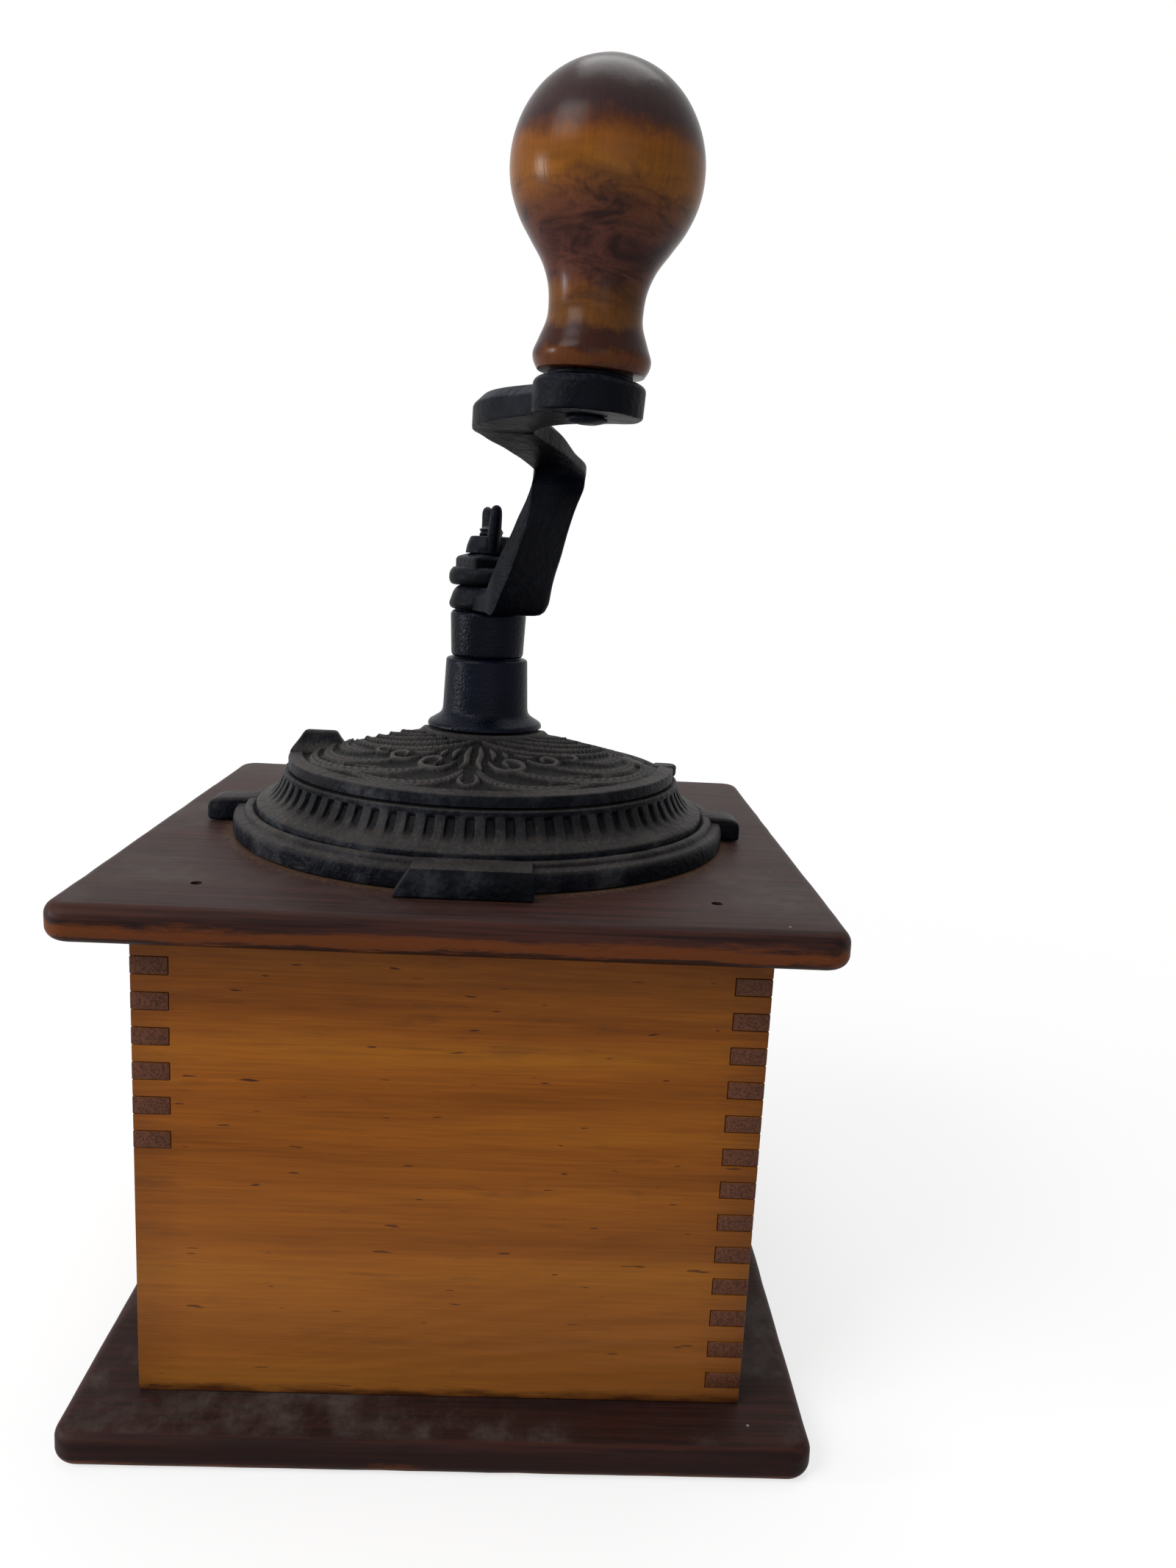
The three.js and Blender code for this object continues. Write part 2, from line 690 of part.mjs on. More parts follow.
// A lug standing out of the flange, its outline seen from outside
function lug(width, reach, height, bevel) {
  const half = width / 2;
  const inner = flangeRadius - ringWall * lugRootShare;
  const shape = outlineOf([[-half, seatGap], [half, seatGap], [half, height], [bevel - half, height]]);
  return slab(shape, inner, reach).applyMatrix4(new THREE.Matrix4().makeBasis(
    new THREE.Vector3(0, 1, 0), new THREE.Vector3(0, 0, 1), new THREE.Vector3(1, 0, 0)));
}

// A narrow lug whose outer end is rounded over, its outline seen from the side
function sideLug(reach) {
  const inner = flangeRadius - ringWall * lugRootShare;
  const shape = new THREE.Shape();
  shape.moveTo(inner, seatGap);
  shape.lineTo(reach, seatGap);
  shape.lineTo(reach, sideLugHeight - sideLugRound);
  shape.quadraticCurveTo(reach, sideLugHeight, reach - sideLugRound, sideLugHeight);
  shape.lineTo(inner, sideLugHeight);
  return slab(shape, -sideLugWidth / 2, sideLugWidth / 2, cornerSteps).rotateX(Math.PI / 2);
}

function hopperRing() {
  const lugs = [
    lug(wideLugWidth, wideLugReach, wideLugHeight, wideLugBevel),
    turned(sideLug(rightLugReach), 90),
    turned(lug(wideLugWidth, wideLugReach, wideLugHeight, wideLugBevel), 180),
    turned(sideLug(leftLugReach), 270),
  ];
  const bosses = around(boltCount, boltStartAngle, () => rod(bossRadius, seatGap, bossHeight)
    .translate(boltCircleRadius, 0, 0));
  const boltHoles = around(boltCount, boltStartAngle, () => rod(boltRadius + seatGap, -cutOverrun,
    boltReach + seatGap).translate(boltCircleRadius, 0, 0));
  const body = cut(join(ringBody(), flutedCove(), ...lugs), ringHollow());
  return cut(join(body, ...bosses), ...boltHoles, ...bridgeScrewHoles());
}

// Square-headed bolt coming up through the board
function hopperBolt() {
  const headTop = -boardThickness - seatGap;
  return join(
    rod(boltRadius, headTop - boltHeadHeight / 2, boltReach),
    rod(boltHeadRadius, headTop - boltHeadHeight, headTop, boltHeadSides),
  );
}

function hopperBowl() {
  const funnelEnd = -bowlFunnelDepth;
  const shoulder = funnelEnd - bowlWall / 2;
  const housingTop = shoulder - bowlWall;
  const shell = ringOf(profileOf([
    [bowlLipRadius, seatGap], [bowlLipRadius, bowlLipThickness],
    [bowlRadius - bowlWall, bowlLipThickness], [bowlRadius - bowlWall, 0],
    [bowlMouthRadius, funnelEnd], [bowlMouthRadius, shoulder],
    [housingRadius - housingWall, shoulder], [housingRadius - housingWall, -housingBottomDepth],
    [housingRadius, -housingBottomDepth], [housingRadius, housingTop],
    [bowlRadius, -bowlWall], [bowlRadius, seatGap],
  ]), bowlSteps);
  const ear = () => rod(strapEarRadius, -housingBottomDepth, -housingBottomDepth + strapEarHeight)
    .translate(strapEarReach, 0, 0);
  const bore = rod(housingRadius - housingWall, -housingBottomDepth - cutOverrun, shoulder, bowlSteps);
  const screwHole = () => rod(strapScrewRadius + seatGap, -housingBottomDepth - cutOverrun,
    -housingBottomDepth + strapScrewLength - strapThickness, screwSteps).translate(strapEarReach, 0, 0);
  return cut(join(shell, ...around(2, 0, ear)), bore, ...around(2, 0, screwHole));
}

// Burrs
function innerBurr() {
  const bottom = -burrTopDepth - burrHeight;
  const heights = burrRowShares.map((share) => bottom + burrHeight * share);
  const radii = burrRowShares.map((share) =>
    THREE.MathUtils.lerp(innerBurrBottomRadius, innerBurrTopRadius, share));
  const cone = toothedForm(heights, radii,
    { teeth: innerBurrTeeth, depth: burrToothDepth, shares: burrToothShares, twist: burrTwistShare });
  const bore = rod(spindleRadius + seatGap, bottom - cutOverrun, -burrTopDepth + cutOverrun, boreSteps);
  return cut(cone, bore, burrPinHole());
}

// The pin that locks the inner burr on the spindle
function burrPin(grow) {
  const reach = innerBurrTopRadius + (innerBurrBottomRadius - innerBurrTopRadius) * burrPinReachShare;
  return rod(burrPinRadius + grow, -reach - grow * cutOverrun, reach + grow * cutOverrun, screwSteps)
    .rotateX(Math.PI / 2)
    .translate(0, 0, burrPinHeight);
}

function burrPinHole() {
  return rod(burrPinRadius + seatGap, -innerBurrBottomRadius, innerBurrBottomRadius, screwSteps)
    .rotateX(Math.PI / 2)
    .translate(0, 0, burrPinHeight);
}

function outerBurr() {
  const bottom = -burrTopDepth - burrHeight;
  const throatHeight = bottom + burrHeight * (1 - burrThroatShare);
  const throatRadius = THREE.MathUtils.lerp(innerBurrTopRadius, innerBurrBottomRadius, burrThroatShare);
  const heights = [bottom - cutOverrun, throatHeight, -burrTopDepth + cutOverrun];
  const tips = [innerBurrBottomRadius + burrGap, throatRadius + burrThroatGap, burrMouthRadius];
  const cavity = toothedForm(heights, tips.map((tip) => tip + burrToothDepth),
    { teeth: outerBurrTeeth, depth: burrToothDepth, shares: burrToothShares, twist: -burrTwistShare });
  return cut(rod(housingRadius - housingWall - seatGap, bottom, -burrTopDepth, bowlSteps), cavity);
}

function lowerStrap() {
  const top = -housingBottomDepth - seatGap;
  const bottom = top - strapThickness;
  const half = strapEarReach;
  const width = strapWidth / 2;
  const shape = new THREE.Shape();
  shape.absarc(half, 0, width, -Math.PI / 2, Math.PI / 2);
  shape.absarc(-half, 0, width, Math.PI / 2, 1.5 * Math.PI);
  const hole = () =>
    rod(strapScrewRadius + seatGap, bottom - cutOverrun, top + cutOverrun, screwSteps).translate(half, 0, 0);
  const holes = around(2, 0, hole);
  return cut(
    join(slab(shape, bottom, top), rod(strapBossRadius, bottom, top, boreSteps)),
    rod(spindleRadius + seatGap, bottom - cutOverrun, top + cutOverrun, boreSteps),
    ...holes,
  );
}

function strapScrew() {
  const headTop = -housingBottomDepth - strapThickness - 2 * seatGap;
  const tip = headTop + strapScrewLength - seatGap;
  return join(
    rod(strapScrewRadius, headTop - strapScrewHeadHeight / 2, tip, screwSteps),
    rod(strapScrewHeadRadius, headTop - strapScrewHeadHeight, headTop, screwSteps),
  ).translate(strapEarReach, 0, 0);
}

// Cover halves: the swivelling half lies over the fixed half

// Height of the cover's top at a radius
function coverHeight(radius) {
  const { mapLinear } = THREE.MathUtils;
  const rim = lipHeight + seatGap + coverRimHeight;
  if (radius > coverMidRadius) return mapLinear(radius, coverMidRadius, coverRadius, coverMidHeight, rim);
  const shoulder = Math.max(radius, coverShoulderRadius);
  return mapLinear(shoulder, coverShoulderRadius, coverMidRadius, coverHubHeight, coverMidHeight);
}

function domeOutline(inner, outer, drop, rimBottom, rimWidth) {
  const top = [inner, coverShoulderRadius, coverMidRadius, outer];
  const under = [outer - rimWidth, coverMidRadius, coverShoulderRadius, inner];
  return profileOf([
    ...top.map((r) => [r, coverHeight(r) - drop]),
    [outer, rimBottom], [outer - rimWidth, rimBottom],
    ...under.map((r) => [r, coverHeight(r) - drop - coverThickness]),
  ]);
}

// A pie slice between two angles, tall enough for the whole dome
function slice(start, end) {
  const shape = new THREE.Shape();
  const reach = 2 * flangeRadius;
  shape.moveTo(0, 0);
  shape.lineTo(reach * Math.cos(start), reach * Math.sin(start));
  shape.absarc(0, 0, reach, start, end);
  return slab(shape, 0, collarTopHeight);
}

function swivelCover() {
  const outline = domeOutline(hubRadius + seatGap, coverRadius, 0, lipHeight + seatGap, coverRimWidth);
  const [start, end] = [coverStartAngle, coverEndAngle].map(THREE.MathUtils.degToRad);
  const half = common(ringOf(outline, domeSteps), slice(start, end));
  return join(half, thumbTab());
}

// The thumb tab stands on the cover at its start edge, along the radius
function thumbTab() {
  const footHeight = (r) => coverHeight(r) - coverThickness / 2;
  const shape = outlineOf([
    [tabInnerRadius, footHeight(tabInnerRadius)], [tabOuterRadius, footHeight(tabOuterRadius)],
    [tabOuterRadius, coverHeight(tabOuterRadius)], [tabOuterRadius - tabTopInset, tabTopHeight],
    [tabInnerRadius + tabTopInset, tabTopHeight], [tabInnerRadius, coverHeight(tabInnerRadius)],
  ]);
  const plate = slab(shape, -tabThickness, 0).rotateX(Math.PI / 2);
  return turned(plate, coverStartAngle);
}

function bridgeScrewPlace(angle, geometry) {
  return turned(geometry.translate(bridgeScrewCircle, 0, 0), angle);
}

// The head lies under the swivelling half, at the height of its outer edge
function bridgeScrew(grow) {
  const screw = countersunk(
    bridgeScrewRadius, bridgeScrewHeadRadius, bridgeScrewHeadHeight, bridgeScrewLength, grow);
  const top = coverHeight(bridgeScrewCircle + bridgeScrewHeadRadius) - coverThickness - 2 * seatGap;
  return screw.rotateX(Math.PI).translate(0, 0, top);
}

function bridgeScrewHoles() {
  return bridgeScrewAngles.map((angle) => bridgeScrewPlace(angle, bridgeScrew(seatGap)));
}

// The fixed half of the dome, with the hub and the post that the spindle turns in
function bearingBridge() {
  const drop = coverThickness + seatGap;
  const outer = coverRadius - coverRimWidth - seatGap;
  const rimWidth = outer - lipInnerRadius - seatGap;
  const outline = domeOutline(hubRadius - seatGap, outer, drop, lipHeight + seatGap, rimWidth);
  const dome = ringOf(outline, domeSteps);
  const overlap = bridgeBarHalfWidth / lipInnerRadius;
  const [start, end] = [coverEndAngle, coverStartAngle].map(THREE.MathUtils.degToRad);
  const half = common(dome, slice(start - 2 * overlap, end + 2 * Math.PI + overlap));
  const barTop = coverHeight(lipInnerRadius) - drop - coverThickness / 2;
  const ribBottom = lipHeight - bridgeRibDepth;
  const ribTop = coverHubHeight - drop - coverThickness / 2;
  const rib = outlineOf([
    [-lipInnerRadius + seatGap, barTop], [-hubRadius, ribBottom],
    [hubRadius, ribBottom], [lipInnerRadius - seatGap, barTop],
    [hubRadius, ribTop], [-hubRadius, ribTop],
  ]);
  const ribPlate = slab(rib, -bridgeRibHalfWidth, bridgeRibHalfWidth)
    .rotateX(Math.PI / 2)
    .rotateZ(Math.PI / 2);
  const hubTop = coverHubHeight + seatGap / 2;
  const hub = rod(hubRadius, ribBottom, hubTop, roundSteps);
  const post = rod(postRadius, hubTop - coverThickness, collarTopHeight - seatGap, postSteps);
  const bore = rod(spindleRadius + seatGap, 0, collarTopHeight + cutOverrun, boreSteps);
  return cut(join(half, ribPlate, hub, post, stopEar()), bore, ...bridgeScrewHoles());
}

// The rounded ear on the rim that the cover's edge comes up against
function stopEar() {
  const half = stopWidth / 2;
  const shape = new THREE.Shape();
  shape.moveTo(lipInnerRadius, half);
  shape.lineTo(lipInnerRadius, -half);
  shape.absarc(stopReach - half, 0, half, -Math.PI / 2, Math.PI / 2);
  const bottom = lipHeight + seatGap;
  return turned(slab(shape, bottom, bottom + stopHeight, cornerSteps), stopAngle);
}

// Spindle stack

function postCollar() {
  const bottom = coverHubHeight + 2 * seatGap;
  const flareTop = bottom + collarFlareHeight;
  const outline = new THREE.Path();
  outline.moveTo(postRadius + seatGap, bottom);
  outline.lineTo(collarFlareRadius, bottom);
  outline.lineTo(collarFlareRadius - seatGap, bottom + collarFlareHeight * flareEdgeShare);
  outline.quadraticCurveTo(collarBottomRadius + seatGap, flareTop - collarFlareHeight * flareEdgeShare,
    collarBottomRadius, flareTop);
  outline.lineTo(collarTopRadius, collarTopHeight - collarRound);
  outline.quadraticCurveTo(collarTopRadius, collarTopHeight, collarTopRadius - collarRound, collarTopHeight);
  outline.lineTo(postRadius + seatGap, collarTopHeight);
  return ringOf(outline.getPoints(2), roundSteps);
}

function crankCollar() {
  const bottom = collarTopHeight + seatGap;
  const top = bottom + crankCollarHeight;
  const edge = collarRound / 2;
  return ringOf(profileOf([
    [spindleRadius + seatGap, bottom], [crankCollarBottomRadius - edge / 2, bottom],
    [crankCollarBottomRadius, bottom + edge / 2], [crankCollarTopRadius, top - edge],
    [crankCollarTopRadius - edge, top], [spindleRadius + seatGap, top],
  ]), roundSteps);
}

const crankHubBottom = collarTopHeight + crankCollarHeight + 2 * seatGap;
const crankHubTop = crankHubBottom + crankHubThickness;
const nutBottom = crankHubTop + seatGap;
const nutTop = nutBottom + nutHeight;

function squareRod(side, low, high) {
  return block(-side / 2, side / 2, -side / 2, side / 2, low, high);
}

function spindle() {
  const pinHole = burrPin(seatGap);
  const tipFoot = spindleTopHeight - threadRadius;
  const chamferFoot = spindleTopHeight - threadRadius / 2;
  const tip = revolve(profileOf([
    [0, tipFoot], [threadRadius, tipFoot], [threadRadius, chamferFoot],
    [threadRadius / 2, spindleTopHeight], [0, spindleTopHeight],
  ]), boreSteps);
  return cut(join(
    rod(spindleRadius, -spindleBottomDepth, squareStartHeight, boreSteps),
    squareRod(squareSide, squareStartHeight - cutOverrun, squareEndHeight),
    rod(threadRadius, squareEndHeight - cutOverrun, chamferFoot, boreSteps),
    tip,
  ), pinHole);
}

function adjustingNut() {
  const half = nutSquareSide / 2;
  const corner = half - nutCornerRadius;
  const shape = new THREE.Shape();
  for (let angle = 0; angle < 2 * Math.PI; angle += Math.PI / 2) {
    const middle = new THREE.Vector2(corner, corner).rotateAround(new THREE.Vector2(), angle);
    shape.absarc(middle.x, middle.y, nutCornerRadius, angle, angle + Math.PI / 2);
  }
  const flangeTop = nutBottom + nutFlangeHeight;
  const edge = nutCornerRadius / 2;
  const flange = revolve(profileOf([
    [0, nutBottom], [nutFlangeRadius - edge, nutBottom], [nutFlangeRadius, nutBottom + edge],
    [nutFlangeRadius, flangeTop - 2 * edge], [nutFlangeRadius - edge, flangeTop], [0, flangeTop],
  ]), roundSteps);
  const square = slab(shape, nutBottom + edge, nutTop, cornerSteps).rotateZ(Math.PI / 4);
  const bore = rod(threadRadius + seatGap, nutBottom - cutOverrun, nutTop + cutOverrun, boreSteps);
  return turned(cut(join(flange, square), bore), nutTurn);
}

// One wing: an ear that leans outwards and ends round
function wing() {
  const bottom = nutTop + seatGap;
  const at = ([out, up]) => new THREE.Vector2(wingReach * out, bottom + wingHeight * up);
  const rim = new THREE.SplineCurve(wingShares.map(at)).getPoints(wingSteps);
  const root = threadRadius + seatGap;
  const shape = new THREE.Shape([
    new THREE.Vector2(root, bottom + wingHubHeight * wingRootShare), ...rim,
    new THREE.Vector2(root, bottom + wingHubHeight),
  ]);
  return slab(shape, -wingThickness / 2, wingThickness / 2).rotateX(Math.PI / 2);
}

function wingNut() {
  const bottom = nutTop + seatGap;
  const top = bottom + wingHubHeight;
  const hub = revolve(profileOf([
    [0, bottom], [wingHubBottomRadius, bottom], [wingHubTopRadius, top - seatGap],
    [wingHubTopRadius - seatGap, top], [0, top],
  ]), roundSteps);
  const bore = rod(threadRadius + seatGap, bottom - cutOverrun, top + wingHeight, boreSteps);
  return turned(cut(join(hub, ...around(2, 0, wing)), bore), wingTurn);
}

// Crank, with +X from the hub towards the knob

// The arm is lofted through its stations: a flat foot, two flanks and a crown with broken edges
function crankArmLoft() {
  const half = armWidth / 2;
  const stations = armStationShares.map(([along, low, high, width, sway]) => ({
    x: crankThrow * along,
    y: crankSway * sway,
    low: THREE.MathUtils.lerp(crankHubBottom, padBottomHeight, low),
    high: THREE.MathUtils.lerp(crankHubTop, padBottomHeight + padThickness, high),
    half: half * width,
  }));
  const smooth = (key) => new THREE.SplineCurve(stations.map((s) => new THREE.Vector2(s.x, s[key])));
  const curves = Object.fromEntries(['y', 'low', 'high', 'half'].map((key) => [key, smooth(key)]));
  const rings = [];
  for (let i = 0; i <= armSteps; i++) {
    const t = i / armSteps;
    const middle = curves.y.getPoint(t);
    const ahead = curves.y.getTangent(t);
    const [low, high, wide] = ['low', 'high', 'half'].map((key) => curves[key].getPoint(t).y);
    const across = new THREE.Vector3(-ahead.y, ahead.x, 0);
    const place = (out, z) =>
      across.clone().multiplyScalar(out).add(new THREE.Vector3(middle.x, middle.y, z));
    rings.push([
      place(-wide, low), place(wide, low), place(wide, high - armChamfer),
      place(wide - armChamfer, high), place(armChamfer - wide, high), place(-wide, high - armChamfer),
    ]);
  }
  return loft(rings);
}

function crankArm() {
  const hub = revolve(profileOf([
    [0, crankHubBottom], [crankHubRadius - armChamfer / 2, crankHubBottom],
    [crankHubRadius, crankHubBottom + armChamfer / 2],
    [crankHubRadius - armChamfer, crankHubTop], [0, crankHubTop],
  ]), roundSteps);
  const pad = atPad(revolve(profileOf([
    [0, 0], [padRadius, 0], [padRadius, padThickness - armChamfer / 2],
    [padRadius - armChamfer / 2, padThickness], [0, padThickness],
  ]), roundSteps));
  const pinBore = rod(knobPinRadius + seatGap, -cutOverrun, padThickness + cutOverrun, boreSteps);
  const pinHole = atPad(pinBore);
  const driveTop = crankHubTop + armThickness;
  const drive = squareRod(squareSide + 2 * seatGap, crankHubBottom - cutOverrun, driveTop);
  const nutRoom = rod(nutFlangeRadius + 2 * seatGap, crankHubTop, nutTop + nutHeight, roundSteps);
  return cut(join(cut(crankArmLoft(), nutRoom), hub, pad), drive, pinHole);
}

// From the pad's own frame, whose origin is on its underside at the pin, into the crank's
function atPad(geometry) {
  return geometry.rotateX(-THREE.MathUtils.degToRad(padLean)).translate(crankThrow, 0, padBottomHeight);
}

function knobPin() {
  const headBottom = -seatGap - knobPinHeadHeight;
  const headEdge = -seatGap - knobPinHeadHeight / 2;
  const head = revolve(profileOf([
    [0, headBottom], [knobPinHeadRadius / 2, headBottom], [knobPinHeadRadius, headEdge],
    [knobPinHeadRadius, -seatGap], [0, -seatGap],
  ]), boreSteps);
  return join(rod(knobPinRadius, headEdge, knobPinLength, boreSteps), head);
}

function knobWasher() {
  const bottom = padThickness + seatGap;
  return ringOf(profileOf([
    [knobPinRadius + seatGap, bottom], [washerRadius, bottom],
    [washerRadius, bottom + washerThickness], [knobPinRadius + seatGap, bottom + washerThickness],
  ]), boreSteps);
}

function crankKnob() {
  const bottom = padThickness + washerThickness + 2 * seatGap;
  const side = new THREE.SplineCurve(knobShares.map(([out, up]) =>
    new THREE.Vector2(knobRadius * out, bottom + knobHeight * up)));
  const outline = [
    new THREE.Vector2(0, bottom), ...side.getPoints(knobSteps), new THREE.Vector2(0, bottom + knobHeight),
  ];
  const bore = rod(knobPinRadius + seatGap, bottom - cutOverrun, knobPinLength + cutOverrun, boreSteps);
  return cut(revolve(outline, roundSteps), bore);
}

function buildIron(root) {
  const iron = new THREE.Group();
  iron.position.set(0, ironShift, boardTop);
  root.add(iron);

  addPiece(iron, 'hopper_ring', hopperRing(), castIron);
  addSet(iron, 'hopper_bolt', around(boltCount, boltStartAngle, () =>
    hopperBolt().translate(boltCircleRadius, 0, 0)), darkSteel);
  addPiece(iron, 'hopper_bowl', hopperBowl(), castIron);
  addPiece(iron, 'outer_burr', outerBurr(), darkSteel);
  addPiece(iron, 'lower_strap', lowerStrap(), castIron);
  addSet(iron, 'strap_screw', around(2, 0, strapScrew), darkSteel);
  addPiece(iron, 'bearing_bridge', bearingBridge(), castIron);
  const bridgeScrews = bridgeScrewAngles.map((angle) => bridgeScrewPlace(angle, bridgeScrew(0)));
  addSet(iron, 'bridge_screw', bridgeScrews, darkSteel);
  addPiece(iron, 'swivel_cover', swivelCover(), castIron);
  addPiece(iron, 'post_collar', postCollar(), castIron);

  const turning = new THREE.Group();
  turning.rotation.z = THREE.MathUtils.degToRad(crankTurn);
  iron.add(turning);
  addPiece(turning, 'crank_collar', crankCollar(), castIron);
  addPiece(turning, 'crank_arm', crankArm(), castIron);
  addPiece(turning, 'spindle', spindle(), darkSteel);
  addPiece(turning, 'inner_burr', innerBurr(), darkSteel);
  addPiece(turning, 'burr_pin', burrPin(0), darkSteel);
  addPiece(iron, 'adjusting_nut', adjustingNut(), castIron);
  addPiece(iron, 'wing_nut', wingNut(), castIron);

  const pad = new THREE.Group();
  pad.position.set(crankThrow, 0, padBottomHeight);
  pad.rotation.x = -THREE.MathUtils.degToRad(padLean);
  turning.add(pad);
  addPiece(pad, 'knob_pin', knobPin(), darkSteel);
  addPiece(pad, 'knob_washer', knobWasher(), darkSteel);
  addPiece(pad, 'crank_knob', crankKnob(), knobWood);
}

const grinder = new THREE.Group();
buildCase(grinder);
buildDrawer(grinder);
buildIron(grinder);

export default grinder;
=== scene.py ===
# Box coffee grinder: the looks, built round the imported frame.
# Blender works in metres; the sizes in the dictionaries are millimetres.
import json
import math
from functools import partial

import bmesh
import bpy
import numpy as np
from mathutils import Matrix, Vector, noise


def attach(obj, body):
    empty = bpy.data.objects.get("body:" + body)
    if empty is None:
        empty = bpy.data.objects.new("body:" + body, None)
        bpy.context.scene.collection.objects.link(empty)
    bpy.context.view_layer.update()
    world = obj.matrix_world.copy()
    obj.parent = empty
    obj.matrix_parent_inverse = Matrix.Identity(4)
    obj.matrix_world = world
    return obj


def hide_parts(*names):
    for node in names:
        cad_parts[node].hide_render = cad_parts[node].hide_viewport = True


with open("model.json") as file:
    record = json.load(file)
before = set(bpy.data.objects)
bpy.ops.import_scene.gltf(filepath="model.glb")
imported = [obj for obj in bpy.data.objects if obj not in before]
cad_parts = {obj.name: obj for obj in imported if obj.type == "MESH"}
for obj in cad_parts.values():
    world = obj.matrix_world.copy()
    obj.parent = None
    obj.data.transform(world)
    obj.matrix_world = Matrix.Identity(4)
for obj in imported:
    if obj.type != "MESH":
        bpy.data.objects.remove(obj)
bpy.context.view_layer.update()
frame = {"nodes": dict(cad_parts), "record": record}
noise.seed_set(1)  # unseeded, noise_vector would differ from run to run
mm = 0.001
boardTop = 151.5875  # top face of the top board; the iron's heights start here
ironShift = 1.5  # the iron stands a little towards the back
print("frame loaded")


# Colour and nodes
def linear(hexColour):
    channels = [int(hexColour[i : i + 2], 16) / 255 for i in (1, 3, 5)]
    return [c / 12.92 if c <= 0.04045 else ((c + 0.055) / 1.055) ** 2.4 for c in channels] + [1]


def addNode(tree, kind, inputs=None, out=0, ramp=None, **settings):
    node = tree.nodes.new("ShaderNode" + kind)
    for setting, value in settings.items():
        setattr(node, setting, value)
    if ramp:
        stops = node.color_ramp.elements
        stops.remove(stops[1])
        for i, (place, value) in enumerate(ramp):
            stop = stops[0] if i == 0 else stops.new(place)
            stop.position = place
            stop.color = linear(value) if isinstance(value, str) else [value, value, value, 1]
    for socket, value in (inputs or {}).items():
        if isinstance(value, bpy.types.NodeSocket):
            tree.links.new(value, node.inputs[socket])
        else:
            node.inputs[socket].default_value = linear(value) if isinstance(value, str) else value
    return node.outputs[out]


# A material with its own way to add nodes, and the object's coordinates
def newMaterial(name, look):
    material = bpy.data.materials.new(name)
    material.use_nodes = True
    tree = material.node_tree
    surface = tree.nodes["Principled BSDF"].inputs
    surface["Roughness"].default_value = look["roughness"]
    surface["Specular IOR Level"].default_value = look.get("specular", 0.5)
    surface["Metallic"].default_value = look.get("metallic", 0)
    return material, partial(addNode, tree), addNode(tree, "TexCoord", out="Object")


# Lays tones over the colour by masks, then relief: strength, height in mm, pattern and if it is sunk
def coat(material, colour, layers, *bumps):
    tree = material.node_tree
    shader = tree.nodes["Principled BSDF"]
    for mask, tone in layers:
        colour = addNode(tree, "MixRGB", {0: mask, 1: colour, 2: tone})
    tree.links.new(colour, shader.inputs["Base Color"])
    below = {}
    for strength, height, pattern, *sunk in bumps:
        relief = {"Strength": strength, "Distance": height * mm, "Height": pattern, **below}
        below = {"Normal": addNode(tree, "Bump", relief, invert=bool(sunk))}
    tree.links.new(below["Normal"], shader.inputs["Normal"])
    return material


# Noise drawn out along the grain: length and width of a feature in mm, then its own settings
def grainNoise(add, place, axis, length, width, detail, roughness=0.6, distortion=0):
    scale = [1000 / width] * 3
    scale[axis] = 1000 / length
    drawnOut = add("Mapping", {"Vector": place, "Scale": scale})
    settings = {"Scale": 1, "Detail": detail, "Roughness": roughness, "Distortion": distortion}
    return add("TexNoise", {"Vector": drawnOut, **settings})


# Planed softwood under old shellac: amber, with straight fine grain and smudges; painted shade under the top
# board and along the foot, painted light towards the foot, and darker by the finger-jointed corners
shellacPine = {
    "roughness": 0.42, "specular": 0.08,
    # the last two tones are painted shade, also darkening the corners, and painted light
    "smudge": "#45260f", "fleck": "#2c150a", "darkening": "#33190d", "faded": "#8a5c33",
    "grain": {
        "bands": ((240, 13, 3, 0.6, 0.2), [(0.32, "#673709"), (0.5, "#75410e"), (0.68, "#7f4c11")]),
        "lines": ((110, 2.2, 3, 0.6, 0.5), [(0.33, 0.9), (0.5, 1)]),
        "fibres": ((22, 0.6, 3), [(0.32, 0.82), (0.62, 1.04)]),  # real ones are finer
        "smudges": ((30, 5, 4), [(0.62, 0), (0.78, 0.6)]),
        "flecks": ((9, 1.2, 1), [(0.737, 0), (0.768, 0.9)]),
    },
    "ripple": (14, 2.5, 4),
    "endColours": [(0.35, "#362017"), (0.6, "#503021")], "endFacing": 0.7,
    "poreScale": 1400,  # 0.7 mm apart, coarser than real pores
    # direction, waver, from, to, at most: painted light paler to the foot, painted shade under the top board
    # and along the foot, darker by the corners
    "edges": [
        ("up", 0, 85, 10, 0.3, "faded"), ("up", 7, 139.6, 142.1, 0.9, "darkening"),
        ("up", 30, 107.6, 141.6, 0.42, "darkening"), ("up", 7, 12.8, 10.2, 0.9, "darkening"),
        ("sideways", 16, 68, 82, 0.32, "darkening"),
    ],
}


